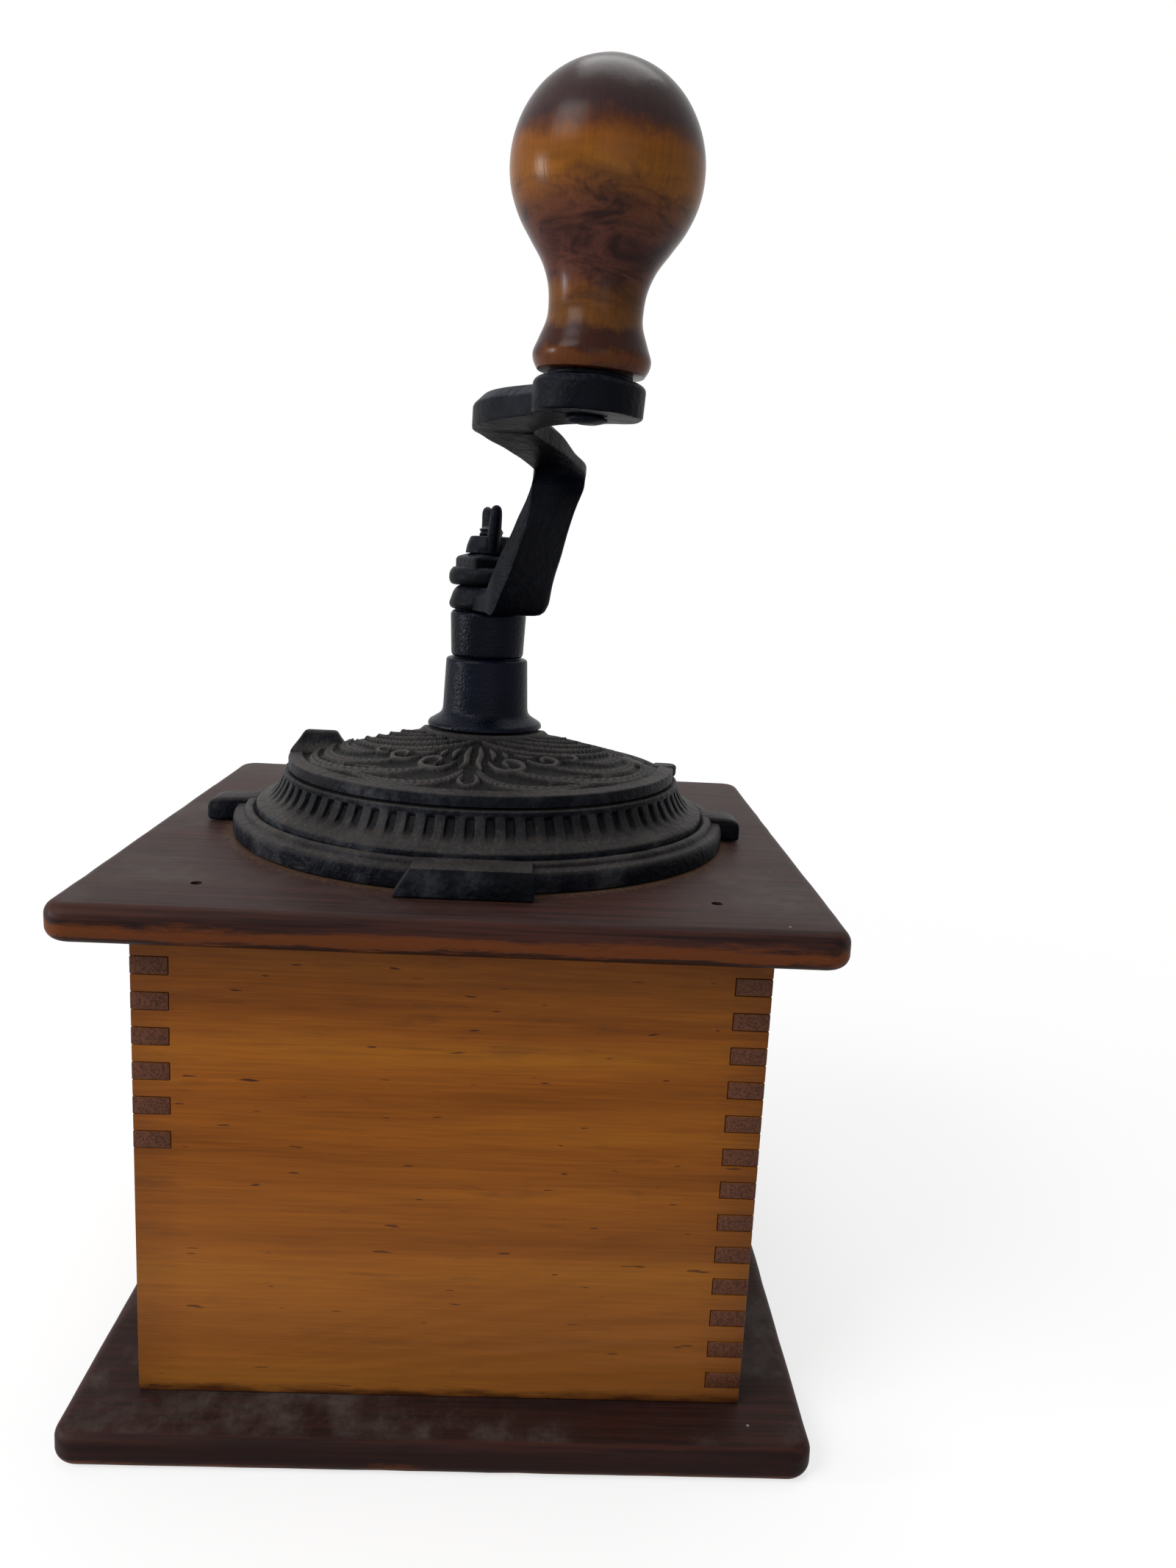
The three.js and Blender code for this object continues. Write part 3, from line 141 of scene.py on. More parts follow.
def pineMaterial(name, axis):
    look = shellacPine
    material, add, place = newMaterial(name, look)
    colour, lines, fibres, smudges, flecks = [
        add("ValToRGB", {0: grainNoise(add, place, axis, *sizes)}, ramp=ramp)
        for sizes, ramp in look["grain"].values()
    ]
    for shade in (lines, fibres):
        colour = add("MixRGB", {0: 1, 1: colour, 2: shade}, blend_type="MULTIPLY")
    layers = [(smudges, look["smudge"]), (flecks, look["fleck"])]

    up = add("SeparateXYZ", {0: place}, out=2)
    sideways = add("Math", {0: add("SeparateXYZ", {0: place}, out=axis)}, operation="ABSOLUTE")
    ripple = grainNoise(add, place, axis, *look["ripple"])
    ripple = add("Math", {0: ripple, 1: 0.5}, operation="SUBTRACT")
    # Bands of painted light towards the foot, painted shade under the top board and along the foot, and
    # darkening by the corners
    for direction, waver, start, end, most, tone in look["edges"]:
        reach = {0: ripple, 1: waver * mm, 2: up if direction == "up" else sideways}
        reach = add("Math", reach, operation="MULTIPLY_ADD")
        edge = {"Value": reach, "From Min": start * mm, "From Max": end * mm, "To Max": most}
        layers.append((add("MapRange", edge), look[tone]))

    # Across the fibres the wood drinks more stain and turns purple-brown
    pores = add("TexNoise", {"Vector": place, "Scale": look["poreScale"], "Detail": 3})
    across = add("SeparateXYZ", {0: place.node.outputs["Normal"]}, out=axis)
    across = add("Math", {0: across}, operation="ABSOLUTE")
    endMask = add("Math", {0: across, 1: look["endFacing"]}, operation="GREATER_THAN")
    layers.append((endMask, add("ValToRGB", {0: pores}, ramp=look["endColours"])))
    return coat(material, colour, layers, (0.2, 0.3, fibres), (0.4, 0.4, flecks, "sunk"))


# Hardwood boards stained dark red-brown and waxed: dusty on top, rubbed to orange at the edges
stainedBoard = {
    "roughness": 0.5, "specular": 0.06,
    "stainDark": "#180d0c", "worn": "#52290f", "crumbs": "#4b392d", "lint": "#8a8078",
    "stain": [(0.36, "#180d0c"), (0.6, "#311a15")], "patches": [(0.36, 0.1), (0.62, 0.8)],
    "dust": [(0.5, "#2b211f"), (0.68, "#39302c")], "greyDust": [(0.5, "#2b211f"), (0.68, "#4c4440")],
    "grain": (60, 1.6, 4, 0.65), "ripple": (26, 3, 6, 0.75), "waver": 9, "mottle": 32,
    "lintApart": 17, "lintSize": (0.03, 0.02), "lintMost": 0.7,  # its size as a share of the distance
    "crumbLine": (85.5, 82), "crumbScale": 600, "crumbWaver": 12,
    "wearMost": 0.85, "wornDepth": 1.6, "darkLine": 0.8,
}


def boardMaterial(name, wornLow, wornHigh, dust="dust", crumbsMost=0, edgeDark=0):
    look = stainedBoard
    material, add, place = newMaterial(name, look)
    grain, ripple = [grainNoise(add, place, 1, *look[key]) for key in ("grain", "ripple")]
    colour = add("ValToRGB", {0: grain}, ramp=look["stain"])
    upward = add("SeparateXYZ", {0: place.node.outputs["Normal"]}, out=2)
    mottle = {"Vector": place, "Scale": 1000 / look["mottle"], "Detail": 7, "Roughness": 0.7}
    cloud = add("TexNoise", mottle)
    settled = add("MapRange", {"Value": upward, "From Min": 0.85})
    patchy = add("ValToRGB", {0: cloud}, ramp=look["patches"])
    dusty = add("Math", {0: settled, 1: patchy}, operation="MULTIPLY")
    layers = [(dusty, add("ValToRGB", {0: cloud}, ramp=look[dust]))]

    # Lint, and a line of brown crumbs and dust against the iron's foot
    cells = add("TexVoronoi", {"Vector": place, "Scale": 1000 / look["lintApart"]})
    flat = add("Mapping", {"Vector": place, "Location": (0, -ironShift * mm, 0), "Scale": (1, 1, 0)})
    away = add("VectorMath", {0: flat}, out="Value", operation="LENGTH")
    crumbs = {"Vector": place, "Scale": look["crumbScale"], "Detail": 4, "Roughness": 0.7}
    scatter = {0: add("TexNoise", crumbs), 1: look["crumbWaver"] * mm, 2: away}
    away = add("Math", scatter, operation="MULTIPLY_ADD")
    crumbLine = [radius * mm for radius in look["crumbLine"]]
    for value, (start, end), most, tone in (
        (cells, look["lintSize"], look["lintMost"], "lint"), (away, crumbLine, crumbsMost, "crumbs"),
    ):
        mask = add("MapRange", {"Value": value, "From Min": start, "From Max": end, "To Max": most})
        layers.append((add("Math", {0: mask, 1: settled}, operation="MULTIPLY"), look[tone]))
    # Side faces darker than the top
    edge = add("MapRange", {"Value": upward, "From Min": 0.9, "From Max": 0.3, "To Max": edgeDark})
    layers.append((edge, look["stainDark"]))

    # Rubbed through to the wood along the edge, with a ragged dark line left below
    height = add("SeparateXYZ", {0: place}, out=2)
    ripple = add("Math", {0: ripple, 1: 0.5}, operation="SUBTRACT")
    height = add("Math", {0: ripple, 1: look["waver"] * mm, 2: height}, operation="MULTIPLY_ADD")
    sideFace = add("MapRange", {"Value": upward, "From Min": 0.5, "From Max": 0.2})
    for start, depth, tone in (
        (wornHigh, look["wornDepth"], "worn"), (wornLow + look["darkLine"], look["darkLine"], "stainDark"),
    ):
        start, end = start * mm, (start - depth) * mm
        rubbing = {"Value": height, "From Min": start, "From Max": end, "To Max": look["wearMost"]}
        rubbed = add("Math", {0: add("MapRange", rubbing), 1: sideFace}, operation="MULTIPLY")
        layers.append((rubbed, look[tone]))
    return coat(material, colour, layers, (0.25, 0.4, grain))


# Plain sawn softwood inside the drawer, dry and unpolished
sawnWood = {"roughness": 0.8, "grain": (60, 2, 4), "colours": [(0.3, "#8a6338"), (0.7, "#b98f5c")]}


def plainWood(name):
    material, add, place = newMaterial(name, sawnWood)
    grain = grainNoise(add, place, 1, *sawnWood["grain"])
    colour = add("ValToRGB", {0: grain}, ramp=sawnWood["colours"])
    return coat(material, colour, [], (0.2, 0.3, grain))


# Sand-cast iron under black japan: gritty and bluish black, with brown dust where it settles
castIron = {
    # tones for the relief: painted shade in its hollows, rub and painted light on its crests
    "roughness": 0.48, "specular": 0.04, "paintedShade": "#040507", "crest": "#43403e",
    "black": [(0.35, "#040507"), (0.5, "#0b0c12"), (0.67, "#28292c")],
    "dust": [(0.4, "#28292c"), (0.55, "#322d29"), (0.75, "#413a34")],
    "patches": [(0.3, 0.5), (0.6, 1)], "dustMost": 0.9, "pitting": 0.6,
    # clouds, specks, grit and pits: size in mm, detail and roughness
    "noises": [(16, 5, 0.65), (1.1, 3, 0.6), (0.7, 3, 0.5), (2.4, 2, 0.5)],
}
# Forged iron, japanned: smoother and a colder black, wiped cleaner of dust by hands
forgedIron = {
    **castIron, "roughness": 0.42, "dustMost": 0.6, "pitting": 0.3,
    "black": [(0.35, "#040507"), (0.5, "#03040a"), (0.9, "#171a23")],
    "dust": [(0.4, "#171a23"), (0.55, "#282a31"), (0.75, "#35363c")],
}


def ironMaterial(name, look):
    material, add, place = newMaterial(name, look)
    cloud, specks, grit, pits = [
        add("TexNoise", {"Vector": place, "Scale": 1000 / size, "Detail": detail, "Roughness": rough})
        for size, detail, rough in look["noises"]
    ]
    colour = add("ValToRGB", {0: cloud}, ramp=look["black"])
    upward = add("SeparateXYZ", {0: place.node.outputs["Normal"]}, out=2)
    upFacing = {"Value": upward, "From Min": 0.2, "From Max": 0.9, "To Max": look["dustMost"]}
    patchy = add("ValToRGB", {0: cloud}, ramp=look["patches"])
    dusty = add("Math", {0: add("MapRange", upFacing), 1: patchy}, operation="MULTIPLY")
    layers = [(dusty, add("ValToRGB", {0: specks}, ramp=look["dust"]))]
    for share in ("crest", "paintedShade"):  # crests rubbed and painted light; painted shade in the hollows of the relief
        layers.append((add("Attribute", out="Fac", attribute_name=share), look[share]))
    return coat(material, colour, layers, (0.5, 0.3, grit), (look["pitting"], 0.9, pits))


# Collars turned on the lathe, then japanned: fine rings round the axis and a cold blue cast
latheIron = {
    "roughness": 0.31, "specular": 0.05, "colours": [(0.35, "#03050d"), (0.6, "#080b17"), (0.8, "#101424")],
    "cloud": 16, "pit": 0.9, "rings": (1 / 1.4, 40, 2, 0.5),  # tool marks 0.7 mm apart
}


def turnedIron(name):
    look = latheIron
    material, add, place = newMaterial(name, look)
    cloud = add("TexNoise", {"Vector": place, "Scale": 1000 / look["cloud"], "Detail": 5})
    colour = add("ValToRGB", {0: cloud}, ramp=look["colours"])
    rings = grainNoise(add, place, 2, *look["rings"])
    pits = add("TexNoise", {"Vector": place, "Scale": 1000 / look["pit"], "Detail": 2})
    return coat(material, colour, [], (0.25, 0.3, rings), (0.4, 0.6, pits))


# Turned beech under old brown varnish: amber where it wore thin, nearly black where it lies thick
turnedBeech = {
    "roughness": 0.25, "specular": 0.07, "streak": "#1e100f",
    "bands": [
        (0, "#3a1f15"), (0.012, "#48260f"), (0.042, "#48260f"), (0.062, "#2e1710"), (0.115, "#2e1611"),
        (0.145, "#503012"), (0.235, "#553213"), (0.29, "#43251c"), (0.4, "#41241e"), (0.49, "#4d2c1b"),
        (0.585, "#6a4013"), (0.66, "#673b12"), (0.71, "#472819"), (0.75, "#2f2020"), (1, "#2d2323"),
    ],
    "pullBands": [(0, "#3a1f15"), (0.2, "#4c2a12"), (0.6, "#52300f"), (0.85, "#43250f"), (1, "#331c12")],
    "wobble": 0.18, "fibres": (40, 0.8, 3), "fibreShade": [(0.3, 0.82), (0.6, 1)],
    "streaks": (5, 16, 4, 0.65, 0.6), "streakMask": [(0.38, 0.9), (0.54, 0)],
    # the dark streaks lie where the belly runs into the neck
    "belt": [(0.16, 0.25), (0.3, 1), (0.47, 1), (0.62, 0.15)],
}


def knobMaterial(name, low, high, axis=2, bands="bands", lean=None):
    look = turnedBeech
    material, add, place = newMaterial(name, look)
    if lean:
        settings = {"Vector": place, "Location": lean.translation, "Rotation": lean.to_euler()}
        place = add("Mapping", settings, vector_type="TEXTURE")
    along = add("SeparateXYZ", {0: place}, out=axis)
    share = add("MapRange", {"Value": along, "From Min": low * mm, "From Max": high * mm})
    waver = add("TexNoise", {"Vector": place, "Scale": 75, "Detail": 6, "Roughness": 0.75})
    waver = add("Math", {0: waver, 1: 0.5}, operation="SUBTRACT")
    share = add("Math", {0: waver, 1: look["wobble"], 2: share}, operation="MULTIPLY_ADD")
    colour = add("ValToRGB", {0: share}, ramp=look[bands])
    fibres = grainNoise(add, place, axis, *look["fibres"])
    shade = add("ValToRGB", {0: fibres}, ramp=look["fibreShade"])
    colour = add("MixRGB", {0: 1, 1: colour, 2: shade}, blend_type="MULTIPLY")
    streaks = add("ValToRGB", {0: grainNoise(add, place, axis, *look["streaks"])}, ramp=look["streakMask"])
    belt = add("ValToRGB", {0: share}, ramp=look["belt"])
    streaks = add("Math", {0: streaks, 1: belt}, operation="MULTIPLY")
    return coat(material, colour, [(streaks, look["streak"])], (0.12, 0.3, fibres))


# Turned and blued steel: dark grey metal with light tool marks
steelLook = {
    "roughness": 0.5, "metallic": 0.85, "colours": [(0.35, "#2b2826"), (0.6, "#4f4b48"), (0.8, "#5e4636")],
    "blotchScale": 300,  # about 3 mm wide
}


def bluedSteel(name):
    material, add, place = newMaterial(name, steelLook)
    blotches = {"Vector": place, "Scale": steelLook["blotchScale"], "Detail": 5, "Roughness": 0.7}
    cloud = add("TexNoise", blotches)
    colour = add("ValToRGB", {0: cloud}, ramp=steelLook["colours"])
    return coat(material, colour, [], (0.15, 0.2, cloud))


finishes = {
    "pineAcross": pineMaterial("shellac pine, grain along y", 1),
    "pineDeep": pineMaterial("shellac pine, grain along x", 0),
    "topBoard": boardMaterial("stained board, top", 143, 147.6, crumbsMost=0.75),
    "baseBoard": boardMaterial("stained board, base", 0.4, 2.6, "greyDust", edgeDark=0.7),
    "drawerWood": plainWood("sawn drawer wood"),
    "iron": ironMaterial("japanned cast iron", castIron),
    "darkIron": ironMaterial("japanned forged iron", forgedIron),
    "turnedIron": turnedIron("japanned turned iron"),
    "steel": bluedSteel("blued steel"),
    "pull": knobMaterial("varnished beech pull", -82.3, -98.8, 1, "pullBands"),
}
print("materials made")


def newObject(name, data):
    made = bpy.data.objects.new(name, data)
    bpy.context.scene.collection.objects.link(made)
    return made


def meshObject(name, points, faces):
    mesh = bpy.data.meshes.new(name)
    mesh.from_pydata([list(point) for point in points], [], faces)
    return newObject(name, mesh)


# From here on, points are in millimetres
def makePiece(name, points, faces, body, finish, slot, nodes, crease=35):
    piece = meshObject(name, [[c * mm for c in point] for point in points], faces)
    mesh = piece.data
    mesh.update()
    mesh.polygons.foreach_set("use_smooth", [True] * len(mesh.polygons))
    mesh.set_sharp_from_angle(angle=math.radians(crease))
    mesh.materials.append(finishes[finish])
    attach(piece, body)
    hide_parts(*nodes)
    return piece


def brokenEdges(work, width, steps, sharp):
    edges = [e for e in work.edges if e.is_manifold and e.calc_face_angle(0) > math.radians(sharp)]
    bmesh.ops.bevel(
        work, geom=edges, offset=width, segments=steps, profile=0.5, affect="EDGES", clamp_overlap=True
    )
    work.verts.index_update()
    made = [v.co.copy() for v in work.verts], [[v.index for v in f.verts] for f in work.faces]
    work.free()
    return made


# A CAD solid copied with its corners broken
def softened(node, body, finish, slot, width):
    work = bmesh.new()
    work.from_mesh(frame["nodes"][node].data)
    bmesh.ops.remove_doubles(work, verts=work.verts, dist=1e-6)
    bmesh.ops.dissolve_limit(work, angle_limit=math.radians(1), verts=work.verts, edges=work.edges)
    points, faces = brokenEdges(work, width * mm, 2, 35)
    makePiece("soft_" + node, [point / mm for point in points], faces, body, finish, slot, [node])


def bevelled(shell, width, steps=3):
    work = bmesh.new()
    corners = [work.verts.new(point) for point in shell[0]]
    for face in shell[1]:
        work.faces.new([corners[i] for i in face])
    work.normal_update()
    return brokenEdges(work, width, steps, 30)


def onCircle(r, a):
    return r * math.cos(a), r * math.sin(a)


# Corners given as (x, y, radius) become short curves
def rounded(corners, steps=4, closed=False):
    line = []
    for i, (x, y, *radius) in enumerate(corners):
        here = Vector((x, y))
        if not radius or (not closed and i in (0, len(corners) - 1)):
            line.append(here)
            continue
        back = Vector(corners[i - 1][:2]) - here
        ahead = Vector(corners[(i + 1) % len(corners)][:2]) - here
        start = here + back.normalized() * min(radius[0], back.length / 2)
        end = here + ahead.normalized() * min(radius[0], ahead.length / 2)
        for step in range(steps + 1):
            t = step / steps
            line.append(start * (1 - t) ** 2 + here * 2 * t * (1 - t) + end * t * t)
    return line


# A smooth line through every point given
def smooth(points, steps=6):
    points = [Vector(point) for point in points]
    points = [points[0]] + points + [points[-1]]
    line = []
    for a, b, c, d in zip(points, points[1:], points[2:], points[3:]):
        for step in range(steps):
            t = step / steps
            bend = (2 * a - 5 * b + 4 * c - d) * t**2 + (3 * b - a - 3 * c + d) * t**3
            line.append(0.5 * (2 * b + (c - a) * t + bend))
    return line + [points[-1]]


# Smooth steps along a row of stations, each a few measures
def stationLine(stations, steps):
    rows = [smooth(list(enumerate(measures)), steps) for measures in zip(*stations)]
    return [[point.y for point in points] for points in zip(*rows)]


# Which way a line of stations runs at one of them, by its first two measures
def heading(line, i):
    before, after = line[max(i - 1, 0)], line[min(i + 1, len(line) - 1)]
    return Vector((after[0] - before[0], after[1] - before[1])).normalized()


# Loops of points joined into a skin, with both ends capped unless the loops run round
def skin(loops, endless=False):
    count = len(loops[0])
    points = [point for loop in loops for point in loop]
    faces = []
    for i in range(len(loops) - (not endless)):
        low, high = i * count, (i + 1) % len(loops) * count
        faces += [(low + j, low + (j + 1) % count, high + (j + 1) % count, high + j) for j in range(count)]
    if not endless:
        faces.append(tuple(reversed(range(count))))
        faces.append(tuple(range(len(points) - count, len(points))))
    return points, faces


def turn(profile, steps=96, endless=False):
    angles = [2 * math.pi * j / steps for j in range(steps)]
    return skin([[(*onCircle(r, a), z) for a in angles] for r, z in profile], endless)


def turnedRing(corners, curveSteps, steps):
    return turn(rounded(corners, curveSteps), steps, endless=True)


def together(*shells):
    points, faces = [], []
    for shellPoints, shellFaces in shells:
        faces += [[i + len(points) for i in face] for face in shellFaces]
        points += list(shellPoints)
    return points, faces


def moved(shell, matrix):
    return [matrix @ Vector(point) for point in shell[0]], shell[1]


def spun(shell, degrees):
    return moved(shell, Matrix.Rotation(math.radians(degrees), 4, "Z"))


# A flat outline given thickness along the third axis
def plate(outline, low, high):
    return skin([[(x, y, z) for x, y in outline] for z in (low, high)])


# Points pushed about a little, as castings and forgings come
def uneven(shell, amount, size):
    return [Vector(p) + noise.noise_vector(Vector(p) / size) * amount for p in shell[0]], shell[1]


def setShare(piece, name, shares):
    layer = piece.data.attributes.new(name, "FLOAT", "POINT")
    plain = [0] * (len(layer.data) - len(shares))  # what was joined on has none
    layer.data.foreach_set("value", [float(share) for share in [*shares, *plain]])


def between(low, high, share):
    return low + (high - low) * share


toIron = Matrix.Translation((0, ironShift, boardTop))
onSide = Matrix.Rotation(math.pi / 2, 4, "X")
standUp = Matrix(((0, 0, 1, 0), (1, 0, 0, 0), (0, 1, 0, 0), (0, 0, 0, 1)))


def ironPiece(name, shell, body, nodes, finish="iron", slot="black_iron", crease=35):
    return makePiece(name, *moved(shell, toIron), body, finish, slot, nodes, crease)


# Boards with a full rounded edge, worn a little uneven
boards = {
    "top": 197, "base": 200, "thick": 10, "corner": 7, "edge": 3.6, "hole": 57.3,
    "unevenness": 0.3, "wearSize": 9, "flatRows": (18, 8),  # insets of the first loops on the flat faces
}


def roundedSquare(half, corner):
    loop = []
    middle = half - corner
    perCorner, perSide = 10, 26
    for quarter in range(4):
        facing = Matrix.Rotation(math.radians(90 * quarter), 2)
        for i in range(perCorner):
            a = math.radians(90 * i / perCorner)
            loop.append(facing @ (Vector((middle, middle)) + Vector(onCircle(corner, a))))
        for i in range(perSide):
            loop.append(facing @ Vector((middle - 2 * middle * i / perSide, half)))
    return loop


def board(side, bottom, hole=None):
    edge, thick, size = boards["edge"], boards["thick"], boards["wearSize"]
    arc = [math.radians(9 * i) for i in range(11)]
    profile = [(inset, 0) for inset in boards["flatRows"]]
    profile += [(edge * (1 - math.sin(a)), edge * (1 - math.cos(a))) for a in arc]
    profile += [(inset, thick - height) for inset, height in reversed(profile)]
    loops = []
    for inset, height in profile:
        loop = []
        for x, y in roundedSquare(side / 2 - inset, max(boards["corner"] - inset, 0.3)):
            patch = noise.noise(Vector((x / size, y / size, bottom + height / 5)))
            wear = boards["unevenness"] * (0.5 + 0.5 * patch)
            inward = Vector((x, y)).normalized() * wear
            loop.append((x - inward.x, y - inward.y, bottom + height - wear / 3 * (height > thick / 2)))
        loops.append(loop)
    if hole:
        mouth = [Vector((x, y)).normalized() * hole for x, y, z in loops[0]]
        for place, z in ((0, bottom), (len(loops) + 1, bottom + thick)):
            loops.insert(place, [(x, y + ironShift, z) for x, y in mouth])
    return skin(loops, endless=bool(hole))


def carved(shell, cutters):
    block, tool = (meshObject("carving", *each) for each in (shell, together(*cutters)))
    modifier = block.modifiers.new("carve", "BOOLEAN")
    modifier.operation, modifier.object, modifier.solver = "DIFFERENCE", tool, "EXACT"
    done = block.evaluated_get(bpy.context.evaluated_depsgraph_get()).to_mesh()
    made = [v.co.copy() for v in done.vertices], [list(f.vertices) for f in done.polygons]
    for each in (block, tool):
        bpy.data.objects.remove(each)
    return made


nails = {"x": 75, "y": 67, "hole": [(1.5, -6), (1.5, 2)]}
nailHoles = [
    moved(turn(nails["hole"], 16), Matrix.Translation((x, y, boardTop)))
    for x in (nails["x"], -nails["x"])
    for y in (nails["y"], -nails["y"])
]
topShell = carved(board(boards["top"], boardTop - boards["thick"], boards["hole"]), nailHoles)
makePiece("top_board_worn", *topShell, "case", "topBoard", "stained_board", ["top_board"])
makePiece("base_board_worn", *board(boards["base"], 0), "case", "baseBoard", "stained_board", ["base_board"])
print("boards made")


# Hopper ring: flange, bead, fluted cove and lip in one section, with the lugs grown out of the flange
hopperRing = {
    # radius, height and, for a curved corner, how far the curve reaches
    "flange": [(72.6, 0.3), (76, 0.3, 0.4), (76, 6, 2.4), (73.2, 6)],
    "bead": 1.7, "beadAt": (71.2, 6), "beadArc": (8, 156),
    "ledge": [(69.4, 6.6), (69.2, 8.9, 0.5), (68, 9.6)],
    "cove": ((68, 9.6), (63.6, 10.6), (61.2, 17.3)), "coveRows": 22,
    "lip": [(61.2, 17.3), (61.2, 17.4, 0.3), (61.2, 18.9, 1.1), (54, 18.9, 0.5), (54, 15.9, 0.5), (57.6, 3.6),
            (60.8, 3.6), (57.6, 15.6), (64.6, 6.2), (72.6, 2.6)],
    "flutes": 72, "fluteDepth": 1.5, "stepsPerFlute": 12, "lump": 0.25,
    # painted shade on the ring under the cover's rim
    "shadeUnderCover": (58.5, 60.9, 17, 0.8),  # darkened between these radii, above this height, by this much
    "wideLug": {"width": 36, "inner": 70, "reach": 81.6, "height": 8, "slope": 4.5},
    "sideLug": {"width": 12, "inner": 70, "left": 85, "right": 82, "height": 7.4, "round": 5.12},
}


def ease(low, high, value):
    t = min(max((value - low) / (high - low), 0), 1)
    return t * t * (3 - 2 * t)


# How deep a flute is at an angle, and how far up the cove
def fluteShare(angle, rise):
    wave = 0.5 + 0.5 * math.cos(hopperRing["flutes"] * angle)
    vary = 0.8 + 0.2 * noise.noise(Vector((*onCircle(20, angle), 0)))
    return vary * ease(0.45, 0.8, wave) * ease(0.22, 0.62, rise) * (1 - ease(0.9, 1, rise))


def ringShell():
    ring = hopperRing
    bead, (start, end) = ring["bead"], ring["beadArc"]
    beadArc = [math.radians(between(start, end, i / 10)) for i in range(11)]
    outside = rounded(ring["flange"])
    outside += [Vector(ring["beadAt"]) + Vector(onCircle(bead, a)) for a in beadArc]
    outside += rounded(ring["ledge"])
    foot, belly, head = (Vector(point) for point in ring["cove"])
    rises = [i / ring["coveRows"] for i in range(1, ring["coveRows"] + 1)]
    profile = [(point, 0) for point in outside]
    profile += [(foot * (1 - t) ** 2 + belly * 2 * t * (1 - t) + head * t * t, t) for t in rises]
    profile += [(point, 0) for point in rounded(ring["lip"])]
    steps = ring["flutes"] * ring["stepsPerFlute"]
    innerDark, outerDark, darkAbove, dark = ring["shadeUnderCover"]
    loops, shadeShares = [], []
    for (radius, height), t in profile:
        loop = []
        for j in range(steps):
            a = 2 * math.pi * j / steps
            notch = fluteShare(a, t) if t else 0
            lump = ring["lump"] * noise.noise(Vector((*onCircle(8, a), height / 4)))
            r = radius - ring["fluteDepth"] * notch + min(lump, 0)
            loop.append((*onCircle(r, a), height))
            # painted shade under the cover's rim, and in the flutes' hollows by their depth
            shadeUnderCover = dark * (innerDark < radius < outerDark and height > darkAbove)
            shadeShares.append(max(notch, shadeUnderCover))
        loops.append(loop)
    return skin(loops, endless=True), shadeShares


# Seen from outside, a wide lug slopes off at one end; a side lug is rounded over
def wideLug():
    size = hopperRing["wideLug"]
    half, height = size["width"] / 2, size["height"]
    outline = [(-half, 0.3), (half, 0.3), (half - 0.8, height), (size["slope"] - half, height), (-half, 0.8)]
    bar = plate(outline, size["inner"], size["reach"])
    return uneven(bevelled(moved(bar, standUp), 0.8), 0.2, 5)


def sideLug(side):
    size = hopperRing["sideLug"]
    half, height, inner, reach = size["width"] / 2, size["height"], size["inner"], size[side]
    outline = rounded([(inner, 0.3), (reach, 0.3), (reach, height, size["round"]), (inner, height + 0.4)], 8)
    return uneven(bevelled(moved(plate(outline, -half, half), onSide), 1.2, 4), 0.2, 4)


lugs = [wideLug(), spun(sideLug("right"), 90), spun(wideLug(), 180), spun(sideLug("left"), 270)]
ringSkin, ringShadeShares = ringShell()
ring = ironPiece("hopper_ring_fluted", together(ringSkin, *lugs), "case", ["hopper_ring"], crease=45)
setShare(ring, "paintedShade", ringShadeShares)
print("ring made")


# Cover halves with leafy scrolls in low relief; heights come from one dome line
cover = {
    "dome": [(13, 32.5), (18.5, 32.3), (24, 31.4), (30, 29.9), (38, 28), (46, 26), (54, 23.8), (57.2, 23),
             (59.8, 22.7)],
    "thick": 2, "rimBottom": 19.2, "rows": 90, "perDegree": 2, "underRows": 12,
    "field": (18.8, 55.6), "ground": 1.15, "swell": 1.2, "vein": 0.45,
    # painted shade in the carved ground; rub and painted light on the crests
    "shadeMost": 0.68, "crestMost": 0.5, "crestFall": 2.2,
    # start and end in degrees, inner and outer radius, drop below the dome line, width of the rim
    "swivelHalf": (-90, 86, 14.1, 59.8, 0, 2.2), "fixedHalf": (80, 272, 13.5, 57.3, 2.3, 3),
}
domeR, domeZ = np.array(smooth(cover["dome"], 8)).T

# Scroll strokes beside the middle: degrees from the middle and radius, then half width and height
leaves = [  # lobes with a vein, lying along the rim
    ([(3, 43.5), (7, 49), (15, 53), (28, 54), (42, 52.4)], 1.9, 1),
    ([(15, 41.5), (23, 46.6), (35, 50.2), (50, 52.8), (66, 53.2), (80, 50.6)], 2, 1),
    ([(33, 40.6), (43, 45), (56, 48), (70, 48.4), (86, 45.4)], 1.8, 0.95),
    ([(51, 39.6), (61, 42.4), (74, 43.4), (88, 41.4)], 1.6, 0.9),
    ([(48, 50.4), (57, 48.4), (66, 50.6)], 1.2, 0.7),
    ([(26, 51), (34, 47.4), (44, 48.4)], 1.2, 0.7),
    ([(4, 22.4), (14, 26.2), (27, 30), (42, 33.2), (60, 36), (82, 39.4)], 1.3, 0.95),
    ([(15, 21.6), (30, 25.6), (46, 29.2), (64, 32.4), (87, 36.6)], 1.2, 0.9),
    ([(29, 20.8), (45, 24.4), (62, 28), (87, 33)], 1.1, 0.85),
    ([(44, 20.4), (62, 24), (87, 29.4)], 1, 0.8),
    ([(60, 20.2), (87, 25.6)], 0.9, 0.7),
]
